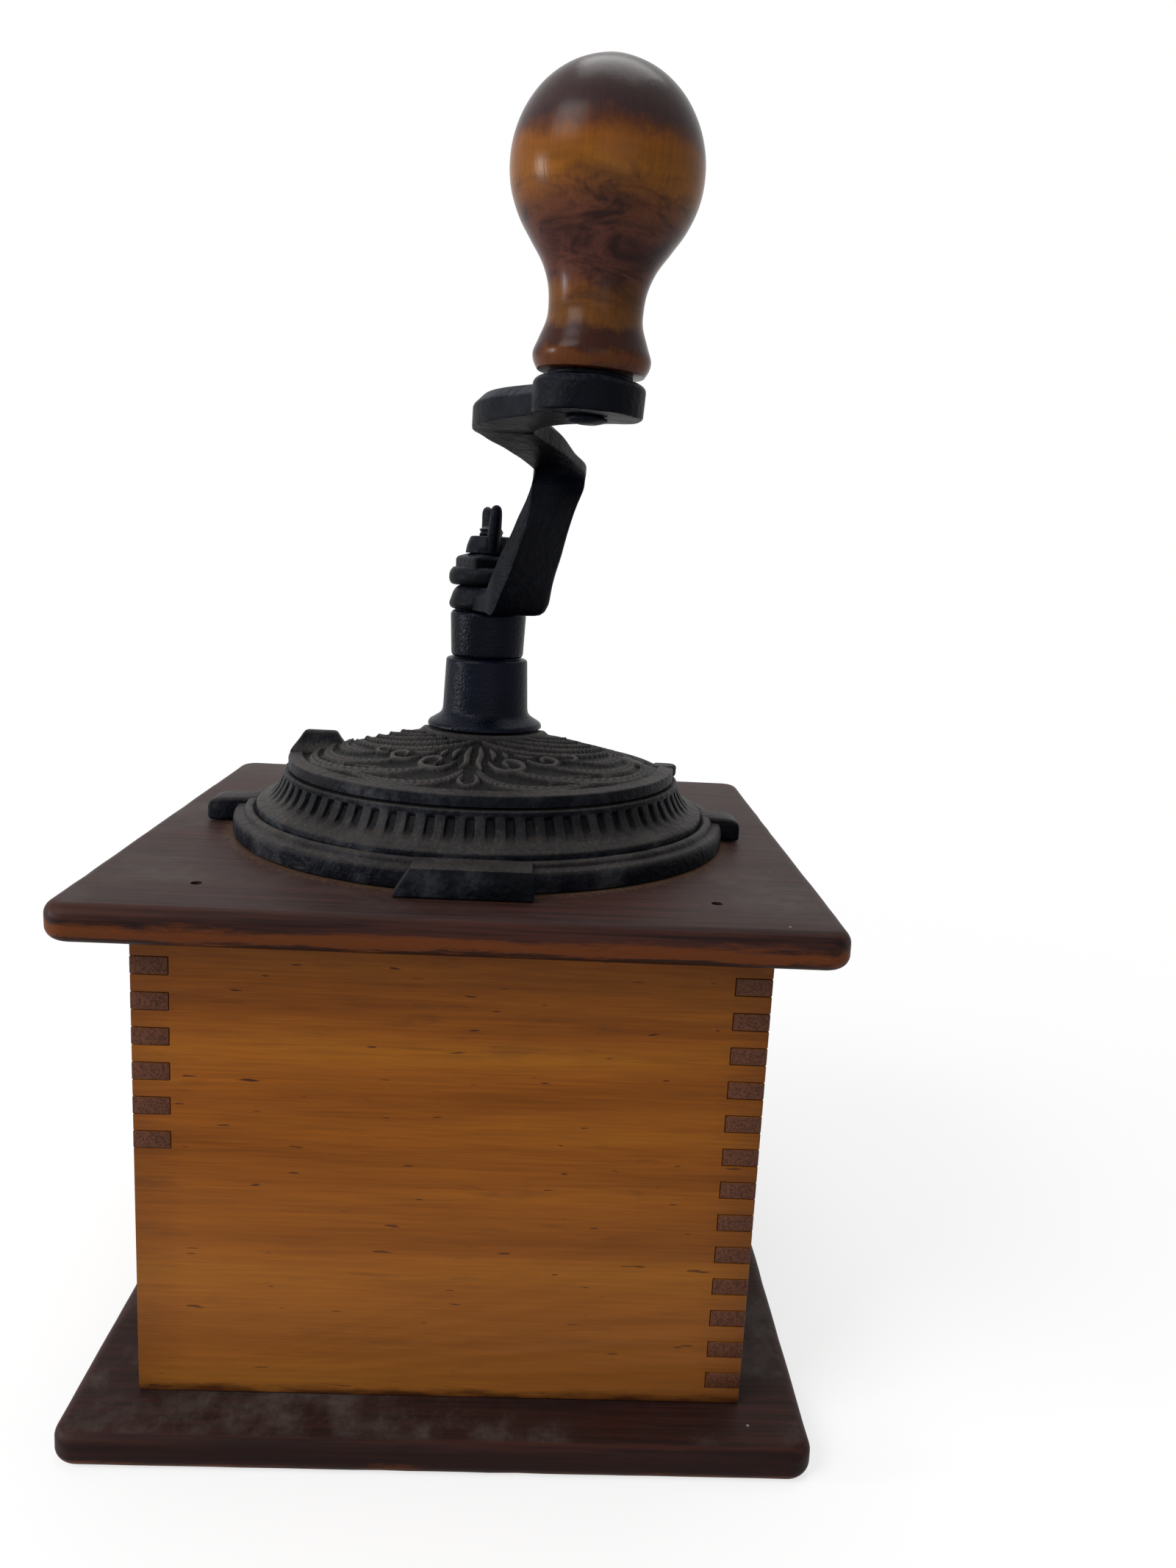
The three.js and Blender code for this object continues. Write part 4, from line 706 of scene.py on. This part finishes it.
scrolls = [  # round curls and upright strokes about the middle
    ([(7, 38), (10, 42), (15, 43.4), (20.5, 41.6), (21, 38), (17, 36), (13.6, 37.6), (15, 39.8)], 1, 1.1),
    ([(25, 36.4), (29, 39.6), (35, 40.2), (39, 37.6), (36.5, 35.2), (32.6, 35.8), (32.4, 37.6)], 0.95, 1.05),
    ([(43, 37.4), (48, 38.4), (52.6, 36.8), (50, 34.8), (46.6, 35.4)], 0.85, 0.9),
    ([(2.6, 27.5), (3.6, 32), (2.6, 37.5), (4, 42)], 1, 1.1),
    ([(8.6, 28.8), (10, 31.8), (9.4, 35)], 0.9, 1.05),
    ([(15, 30.6), (16.2, 32.4), (15.8, 34.2)], 0.85, 0.95),
    ([(2, 46), (3, 48.8), (2, 51.4), (0, 52.6)], 0.85, 0.95),
    ([(21, 31.8), (26, 33.8), (32, 33.8)], 0.8, 0.9),
]
endBoss = ([(79, 49), (81, 45.5)], 3.4, 1.1)  # flat boss by the stop, on one side alone


def domeHeight(radius):
    return float(np.interp(radius, domeR, domeZ))


def reliefHeight(angles, radii, middle):
    x, y = radii * np.cos(angles), radii * np.sin(angles)
    height = np.zeros_like(x)
    sided = [(stroke, side, cover["vein"]) for stroke in leaves for side in (1, -1)]
    sided += [(stroke, side, 0) for stroke in scrolls for side in (1, -1)] + [(endBoss, 1, 0)]
    for (stroke, width, rise), side, vein in sided:
        line = [onCircle(r, middle + side * math.radians(turned)) for turned, r in smooth(stroke, 5)]
        last = len(line) - 1
        swell = np.zeros_like(x)
        for i, ((ax, ay), (bx, by)) in enumerate(zip(line, line[1:])):
            dx, dy = bx - ax, by - ay
            along = np.clip(((x - ax) * dx + (y - ay) * dy) / (dx * dx + dy * dy + 1e-9), 0, 1)
            gap = np.hypot(x - ax - along * dx, y - ay - along * dy)
            share = np.clip((i + along) / last, 0.02, 0.98)
            broad = width * (0.3 + 0.7 * np.sin(np.pi * share) ** 0.8)
            bump = cover["swell"] * rise * np.clip(1.2 - (gap / broad) ** 2, 0, 1) ** 0.5
            bump = bump * (1 - vein * np.exp(-((gap / (0.28 * broad)) ** 2)))
            swell = np.maximum(swell, bump) if not vein else np.where(gap < broad, bump, swell)
        height = np.maximum(height, swell)
    return height


# One half of the cover, with how much painted shade and how much rub and painted light each of its points
# takes
def coverShell(start, end, inner, outer, drop, rimWidth):
    radii = np.linspace(inner, outer - 0.5, cover["rows"])
    angles = np.radians(np.linspace(start, end, int(abs(end - start) * cover["perDegree"])))
    gridA, gridR = np.meshgrid(angles, radii, indexing="ij")
    (fieldInner, fieldOuter), ground, rimBottom = cover["field"], cover["ground"], cover["rimBottom"]
    inField = np.clip((fieldOuter - gridR) / 0.8, 0, 1) * np.clip((gridR - fieldInner) / 1.5, 0, 1)
    depth = ground - reliefHeight(gridA, gridR, math.radians((start + end) / 2))
    tops = np.interp(gridR, domeR, domeZ) - drop - depth * inField
    under = np.linspace(outer - rimWidth, inner, cover["underRows"])
    loops, shadeShares, crests = [], [], []
    for i, a in enumerate(angles):
        section = list(zip(radii, tops[i]))
        edge = float(tops[i][-1])
        section += [(outer - 0.12, edge - 0.15), (outer, edge - 0.5), (outer, rimBottom + 0.3)]
        section += [(outer - 0.4, rimBottom), (outer - rimWidth, rimBottom)]
        section += [(r, domeHeight(r) - drop - cover["thick"]) for r in under]
        loops.append([(*onCircle(r, a), z) for r, z in section])
        plain = [0] * (len(section) - len(radii))
        # painted shade where the ground lies deep; rub and painted light on the crests
        shadeShares += list(np.clip(depth[i] / ground * cover["shadeMost"] * inField[i], 0, 1)) + plain
        rubbed = np.clip(1 - depth[i] / ground * cover["crestFall"], 0, 1)
        crests += list(rubbed * cover["crestMost"] * inField[i]) + plain
    return skin(loops), shadeShares, crests


# The thumb tab flares out into the cover at its foot: height, reach from the axis, then thickness
thumbTab = [
    (21.6, 37.6, 59.6, 6.5), (23.2, 39.6, 59.4, 5.8), (24.2, 41.2, 58.9, 5), (25.2, 42.7, 58.2, 4.3),
    (26.3, 43.7, 57.4, 3.8), (27.4, 44.5, 56.7, 3.5), (28.5, 45.2, 56, 3.3), (29.1, 45.7, 55.5, 3),
    (29.3, 46.4, 54.9, 2.6),
]


def tabShell():
    loops = []
    for height, near, far, thick in thumbTab:
        corners = [(0, -near, 0.7), (0, -far, 0.7), (thick, -far, 0.9), (thick, -near, 0.9)]
        outline = rounded(corners, closed=True)
        loops.append([(x, y, max(height, domeHeight(math.hypot(x, y)) - 1.4)) for x, y in outline])
    return uneven(skin(loops), 0.15, 4)


def coverPiece(name, half, extras, body, node):
    shell, shadeShares, crests = coverShell(*cover[half])
    piece = ironPiece(name, together(shell, *extras), body, [node], crease=50)
    setShare(piece, "paintedShade", shadeShares)
    setShare(piece, "crest", crests)


# The fixed half carries the stop ear, the rib across the mouth and the hub that the spindle turns in
bridge = {
    "ear": [(54.3, -3.7), (60.2, -3.7, 3), (61.6, 0, 2.4), (60.2, 3.7, 3), (54.3, 3.7)],
    "earBottom": 19.2, "earTop": 22.8, "earTurn": 92,
    "rib": [(-53.7, 20.9), (-13.8, 11.9), (13.8, 11.9), (53.7, 20.9), (13.8, 29.1), (-13.8, 29.1)],
    "ribHalf": 2.6,
    "hub": [(5.8, 11.9), (13.8, 11.9, 0.8), (13.8, 32.5, 0.6), (8.8, 32.6, 0.3), (8.8, 54, 0.5), (5.8, 54)],
}
coverPiece("swivel_cover_leafed", "swivelHalf", [tabShell()], "cover", "swivel_cover")

stopEar = plate(rounded(bridge["ear"], 6), bridge["earBottom"], bridge["earTop"])
stopEar = spun(uneven(bevelled(stopEar, 0.9, 4), 0.15, 4), bridge["earTurn"])
rib = bevelled(moved(plate(bridge["rib"], -bridge["ribHalf"], bridge["ribHalf"]), standUp), 0.6)
bridgeParts = [stopEar, rib, turnedRing(bridge["hub"], 3, 64)]
coverPiece("bearing_bridge_leafed", "fixedHalf", bridgeParts, "case", "bearing_bridge")
print("cover made")


# Collars under the crank
collars = {
    "post": [(9.1, 33), (17.8, 33, 0.5), (17.5, 34.4, 0.6), (13.9, 36.6, 1.6), (13.2, 38, 1.5),
             (12.6, 52.2), (12.5, 54.3, 2), (9.1, 54.3)],
    "crank": [(5.8, 54.6), (10.5, 54.6, 0.4), (11.1, 55.4, 0.6), (11.6, 67.6, 0.6), (10.8, 68.7, 0.9),
              (5.8, 68.7)],
}
crankTurn = 13  # how far the crank stands turned at rest
postCollar = turnedRing(collars["post"], 6, 96)
ironPiece("post_collar_turned", postCollar, "case", ["post_collar"], "turnedIron")
crankCollar = spun(turnedRing(collars["crank"], 5, 96), crankTurn)
ironPiece("crank_collar_turned", crankCollar, "crank", ["crank_collar"], "turnedIron")


# Crank arm: a flat band swept from the hub to the pad, its crown edges broken
crank = {
    "throw": 110, "sway": 12, "half": 7.5, "chamfer": 2.6, "edge": 0.5, "crownEdge": 0.7, "innerCrown": 0.6,
    "hubBottom": 69, "hubTop": 76, "padBottom": 116.4, "padTop": 123.7, "padLean": -2.2,
    "toe": 4.2, "toeEnds": 0.3, "toeFades": 0.1,  # the outer flank turns under at the foot
    # along the throw, rise of foot, rise of crown, width, sway, wider chamfer on the outer flank
    "stations": [
        (0.03, 0, 0, 1.1, 0.05, 0), (0.12, 0, 0, 1.15, 0.22, 0), (0.16, 0, 0.05, 1.22, 0.34, 0),
        (0.2, 0, 0.16, 1.25, 0.45, 0), (0.232, 0.15, 0.31, 1.2, 0.56, 0),
        (0.269, 0.36, 0.49, 1.12, 0.73, 0), (0.318, 0.675, 0.7, 1, 0.95, 1),
        (0.35, 0.79, 0.785, 0.95, 0.96, 2), (0.391, 0.84, 0.83, 0.93, 0.86, 3),
        (0.459, 0.88, 0.87, 0.97, 0.47, 3), (0.545, 0.92, 0.93, 1, -0.07, 2),
        (0.618, 0.955, 0.965, 1, -0.62, 1), (0.682, 0.977, 0.985, 1, -0.95, 0),
        (0.755, 0.99, 1, 1, -0.92, 0), (0.836, 1, 1, 1.04, -0.62, 0), (0.918, 1, 1, 1.12, -0.25, 0),
        (1, 1, 1, 1.2, 0, 0),
    ],
    "hub": [(4.6, 69), (11.4, 69, 0.8), (12.3, 70.4, 1), (11, 74.6, 1), (9.6, 76, 0.8), (4.6, 76)],
    "pad": [(3.8, 0), (12.1, 0, 0.7), (12.1, 6.3, 0.8), (10.9, 7.3, 0.6), (3.8, 7.3)],
}


def armShell():
    stations = []
    for along, foot, crown, width, sway, extra in crank["stations"]:
        low = between(crank["hubBottom"], crank["padBottom"], foot)
        high = between(crank["hubTop"], crank["padTop"], crown)
        stations.append(
            (crank["throw"] * along, crank["sway"] * sway, low, high, crank["half"] * width, extra)
        )
    line = stationLine(stations, 5)
    chamfer, edge = crank["chamfer"], crank["edge"]
    loops = []
    for i, (x, y, low, high, half, extra) in enumerate(line):
        ahead = heading(line, i)
        atFoot = min(max(crank["toeEnds"] - x / crank["throw"], 0) / crank["toeFades"], 1)
        corners = [
            (-half, low, edge), (half, low, between(edge, crank["toe"], atFoot)),
            (half, high - chamfer - extra * 0.6, edge), (half - chamfer - extra, high, crank["crownEdge"]),
            (chamfer - half, high, crank["innerCrown"]), (-half, high - chamfer, edge),
        ]
        section = rounded(corners, closed=True)
        loops.append([(x - ahead.y * out, y + ahead.x * out, z) for out, z in section])
    return skin(loops)


padLean = Matrix.Rotation(math.radians(crank["padLean"]), 4, "X")
padPlace = Matrix.Translation((crank["throw"], 0, crank["padBottom"])) @ padLean
hub = uneven(turnedRing(crank["hub"], 4, 72), 0.2, 7)
pad = moved(uneven(turnedRing(crank["pad"], 4, 72), 0.25, 6), padPlace)
arm = spun(together(uneven(armShell(), 0.22, 9), hub, pad), crankTurn)
ironPiece("crank_arm_forged", arm, "crank", ["crank_arm"], "darkIron", crease=40)
print("crank made")


# Adjusting nut: a round flange with a square body, its top filed to a slope
nut = {
    "flange": [(4, 76.3), (11.6, 76.3, 0.8), (12.4, 77.6, 0.8), (12.4, 80, 1.2), (11.2, 81.7, 0.8),
               (4, 81.7)],
    "side": 16.6, "turn": -20,
    "heightsAndInsets": ((77.5, 0), (83.9, 0), (84.5, 0.2), (84.9, 0.6), (85.4, 1.8), (85.9, 3.4)),
}
squareLoops = []
for height, inset in nut["heightsAndInsets"]:
    half = nut["side"] / 2 - inset
    outline = rounded([(-half, -half, 1), (half, -half, 1), (half, half, 1), (-half, half, 1)], closed=True)
    squareLoops.append([(x, y, height) for x, y in outline])
squareNut = spun(uneven(skin(squareLoops), 0.12, 5), 45)
wholeNut = spun(together(turnedRing(nut["flange"], 4, 72), squareNut), nut["turn"])
ironPiece("adjusting_nut_filed", wholeNut, "adjuster", ["adjusting_nut"], "darkIron")

# Wing nut: a coned hub and two ears with round tips
wingNut = {
    "turn": 10, "bottom": 86.2,
    "hub": [(4, 85.94), (7.7, 85.94, 0.3), (7.3, 88.4, 0.8), (6.1, 91.1, 0.6), (4, 91.2)],
    # out from the axis, up from the hub's foot, half width and half thickness
    "ear": [(5, 1, 2.9, 2.2), (6.6, 4, 2.6, 2.1), (8.4, 7.2, 2.3, 1.95), (9.9, 10.2, 2, 1.8),
            (10.7, 12.3, 1.7, 1.65), (11.1, 13.4, 1.1, 1.2), (11.2, 13.95, 0.4, 0.45)],
}


def earShell():
    line = stationLine(wingNut["ear"], 4)
    angles = [math.radians(15 * j) for j in range(24)]
    loops = []
    for i, (out, height, wide, thick) in enumerate(line):
        rise = heading(line, i)
        middle = wingNut["bottom"] + height
        across = [(wide * math.cos(a), thick * math.sin(a)) for a in angles]
        loops.append([(out + rise.y * w, side, middle - rise.x * w) for w, side in across])
    return skin(loops)


ears = [spun(earShell(), angle) for angle in (0, 180)]
wings = spun(uneven(together(turnedRing(wingNut["hub"], 4, 48), *ears), 0.1, 4), wingNut["turn"])
ironPiece("wing_nut_cast", wings, "wing_nut", ["wing_nut"], "darkIron")

# Spindle: a round shaft, a square for the crank and a threaded top
spindle = {
    "shaft": [(0.1, -66.6), (4.9, -66.6), (5.5, -66), (5.5, 61.6), (5, 62.2), (0.1, 62.2)],
    "square": [(-3.8, -3.8), (3.8, -3.8), (3.8, 3.8), (-3.8, 3.8)], "squareFrom": 61, "squareTo": 73.7,
    "thread": {"radius": 3.7, "depth": 0.45, "pitch": 1.6, "from": 73, "to": 93.2, "tip": 94},
}


def threadShell():
    thread = spindle["thread"]
    steps = 40
    rows = int((thread["to"] - thread["from"]) / thread["pitch"] * 8)
    loops = []
    for i in range(rows + 1):
        z = between(thread["from"], thread["to"], i / rows)
        loop = []
        for j in range(steps):
            a = 2 * math.pi * j / steps
            wave = abs(((z / thread["pitch"] - j / steps) % 1) * 2 - 1)
            r = thread["radius"] - thread["depth"] * wave
            loop.append((*onCircle(r, a), z))
        loops.append(loop)
    loops.append([(x * 0.55, y * 0.55, thread["tip"]) for x, y, z in loops[-1]])
    return skin(loops)


square = bevelled(plate(spindle["square"], spindle["squareFrom"], spindle["squareTo"]), 0.4)
shaft = spun(together(turn(spindle["shaft"], 48), square, threadShell()), crankTurn)
ironPiece("spindle_threaded", shaft, "spindle", ["spindle"], "turnedIron", "dark_steel")


# Turned knob on the pad; its bands follow its own leaning axis
knob = {
    "radius": 20.25, "height": 61.74, "foot": 8.7,
    "shares": [(0.02, 0), (0.5, 0), (0.58, 0.008), (0.625, 0.05), (0.575, 0.1), (0.51, 0.16), (0.497, 0.21),
               (0.52, 0.28), (0.6, 0.35), (0.74, 0.42), (0.875, 0.49), (0.97, 0.57), (1, 0.65), (0.975, 0.73),
               (0.89, 0.81), (0.74, 0.885), (0.53, 0.945), (0.27, 0.987), (0.1, 1), (0.01, 1)],
}
knobTop = knob["foot"] + knob["height"]
knobLine = smooth([(knob["radius"] * out, knob["foot"] + knob["height"] * up) for out, up in knob["shares"]])
toPad = toIron @ Matrix.Rotation(math.radians(crankTurn), 4, "Z") @ padPlace
knobShell = moved(turn(knobLine, 128), toPad)
knobLean = toPad.copy()
knobLean.translation *= mm
finishes["knob"] = knobMaterial("varnished beech knob", knob["foot"], knobTop, lean=knobLean)
makePiece("crank_knob_turned", *knobShell, "knob", "knob", "knob_wood", ["crank_knob"])

pull = {
    "at": (0, -82.3, 45.3),
    "line": [(0.05, 0), (6.6, 0), (7, 0.6), (5.4, 2.6), (4.8, 4.4), (6.4, 7.2), (9, 9.4), (9.5, 11.4),
             (8.6, 14), (5.4, 16), (1.5, 16.5), (0.05, 16.5)],
}
pullShell = moved(turn(smooth(pull["line"], 5), 64), Matrix.Translation(pull["at"]) @ onSide)
makePiece("drawer_knob_turned", *pullShell, "drawer", "pull", "knob_wood", ["drawer_knob"])

# Hopper bowl with the burr housing and two ears that the lower strap is screwed to
bowl = {
    "section": [(57, 0.3), (57, -3, 4), (29, -36.5, 3), (29, -61, 0.4), (25.8, -61, 0.4), (25.8, -33.5),
                (21, -33.5, 0.5), (21, -32, 3), (54, 0, 6), (54, 3, 1), (61.2, 3, 0.5), (61.2, 0.3)],
    "ear": [(5, -61), (5, -47), (0.1, -46)], "earsOut": 32,
}
bowlEar = moved(turn(bowl["ear"], 24), Matrix.Translation((bowl["earsOut"], 0, 0)))
bowlShell = together(turnedRing(bowl["section"], 5, 96), *[spun(bowlEar, angle) for angle in (0, 180)])
ironPiece("hopper_bowl_cast", bowlShell, "case", ["hopper_bowl"])
print("turned pieces made")


# The other CAD solids keep their shape, with broken corners
fasteners = {"top_board_nail": 4, "base_board_screw": 4, "drawer_brad": 4, "hopper_bolt": 4, "strap_screw": 2,
             "bridge_screw": 2}
plainPieces = [
    ("pineAcross", "honey_pine", 0.25, ["right_side_panel", "left_side_panel"]),
    ("pineDeep", "honey_pine", 0.25, ["front_panel", "back_panel", "drawer_front"]),
    ("drawerWood", "drawer_wood", 0.3,
     ["drawer_right_side", "drawer_left_side", "drawer_back", "drawer_bottom"]),
    ("iron", "black_iron", 0.4, ["lower_strap"]),
    ("darkIron", "dark_steel", 0.2, ["knob_pin", "knob_washer"]),
    ("steel", "dark_steel", 0.2, ["outer_burr", "inner_burr", "burr_pin", "drawer_knob_screw"]),
    ("steel", "dark_steel", 0.2,
     [f"{kind}_{i + 1}" for kind, count in fasteners.items() for i in range(count)]),
]
bodyOf = {node: body for body, nodes in frame["record"]["behaviour"]["bodies"].items() for node in nodes}
for finish, slot, width, nodes in plainPieces:
    for node in nodes:
        softened(node, bodyOf[node], finish, slot, width)
print("plain pieces made")


# Camera, fitted to the photograph
view = {
    "place": (0.37454, 0.01965, 0.23957), "forward": (-0.98108, 0.0399, -0.18946),
    "roll": 2.95, "lens": 27.57,
}
forward = Vector(view["forward"]).normalized()
level = forward.cross(Vector((0, 0, 1))).normalized()
roll = math.radians(view["roll"])
right = level * math.cos(roll) + level.cross(forward) * math.sin(roll)
up = right.cross(forward)
camera = newObject("camera", bpy.data.cameras.new("camera"))
camera.data.lens = view["lens"]
camera.data.clip_start = 0.01
camera.matrix_world = Matrix.Translation(view["place"]) @ Matrix((right, up, -forward)).transposed().to_4x4()
bpy.context.scene.camera = camera

# Soft studio light: place, aim, size in metres and power
lamps = {
    "key light": ((0.9, -1.1, 1.3), (0, 0, 0.15), (0.9, 0.9), 25),
    "window light": ((0.25, -1.4, 0.3), (0, 0, 0.28), (0.22, 0.35), 11),
    "fill light": ((1.3, 0.2, 0.3), (0, 0, 0.1), (0.9, 0.9), 3),
    "top light": ((-0.3, 0.1, 1.6), (0, 0, 0.1), (1, 1), 12),
}
for name, (place, aim, size, power) in lamps.items():
    lamp = newObject(name, bpy.data.lights.new(name, "AREA"))
    lamp.data.shape = "RECTANGLE"
    lamp.data.size, lamp.data.size_y = size
    lamp.data.energy = power
    lamp.location = place
    lamp.rotation_euler = (Vector(aim) - Vector(place)).to_track_quat("-Z", "Y").to_euler()


# 1 where the camera, a reflection or a clear material looks straight at it
def seenDirectly(add):
    seen = add("LightPath", out="Is Camera Ray")
    rays = seen.node.outputs
    for ray in ("Is Glossy Ray", "Is Transmission Ray"):
        seen = add("Math", {0: seen, 1: rays[ray]}, operation="MAXIMUM")
    return seen


# The room is white where it is seen, and gives a plain grey light
room = {"light": 0.32, "seen": 1.0}
world = bpy.data.worlds.new("studio")
world.use_nodes = True
bpy.context.scene.world = world
tree = world.node_tree
add = partial(addNode, tree)
strength = {"Value": seenDirectly(add), "To Min": room["light"], "To Max": room["seen"]}
background = tree.nodes["Background"].inputs
tree.links.new(add("MapRange", strength), background["Strength"])
background["Color"].default_value = (1, 1, 1, 1)

# Pale floor that keeps the shadow near the grinder and runs out into white
paper = {
    "half": 9, "grey": 0.88, "roughness": 0.9, "specular": 0,
    "fadeFrom": 0.1, "fadeTo": 0.6, "whiteNear": 0.7,
}
half = paper["half"]
corners = [(-half, -half, 0), (half, -half, 0), (half, half, 0), (-half, half, 0)]
floor = meshObject("floor", corners, [(0, 1, 2, 3)])
floorFinish, add, place = newMaterial("white paper floor", paper)
tree = floorFinish.node_tree
shader = tree.nodes["Principled BSDF"]
shader.inputs["Base Color"].default_value = (*[paper["grey"]] * 3, 1)
away = add("VectorMath", {0: place}, out="Value", operation="LENGTH")
fading = {"From Min": paper["fadeFrom"], "From Max": paper["fadeTo"], "To Min": paper["whiteNear"]}
fade = add("MapRange", {"Value": away, **fading})
share = add("Math", {0: seenDirectly(add), 1: fade}, operation="MULTIPLY")
glow = add("Emission", {"Color": "#ffffff", "Strength": 1.0})
mixed = add("MixShader", {0: share, 1: shader.outputs[0], 2: glow})
tree.links.new(mixed, tree.nodes["Material Output"].inputs["Surface"])
floor.data.materials.append(floorFinish)
print("camera, light and floor made")

bpy.context.scene.view_settings.view_transform = "Standard"
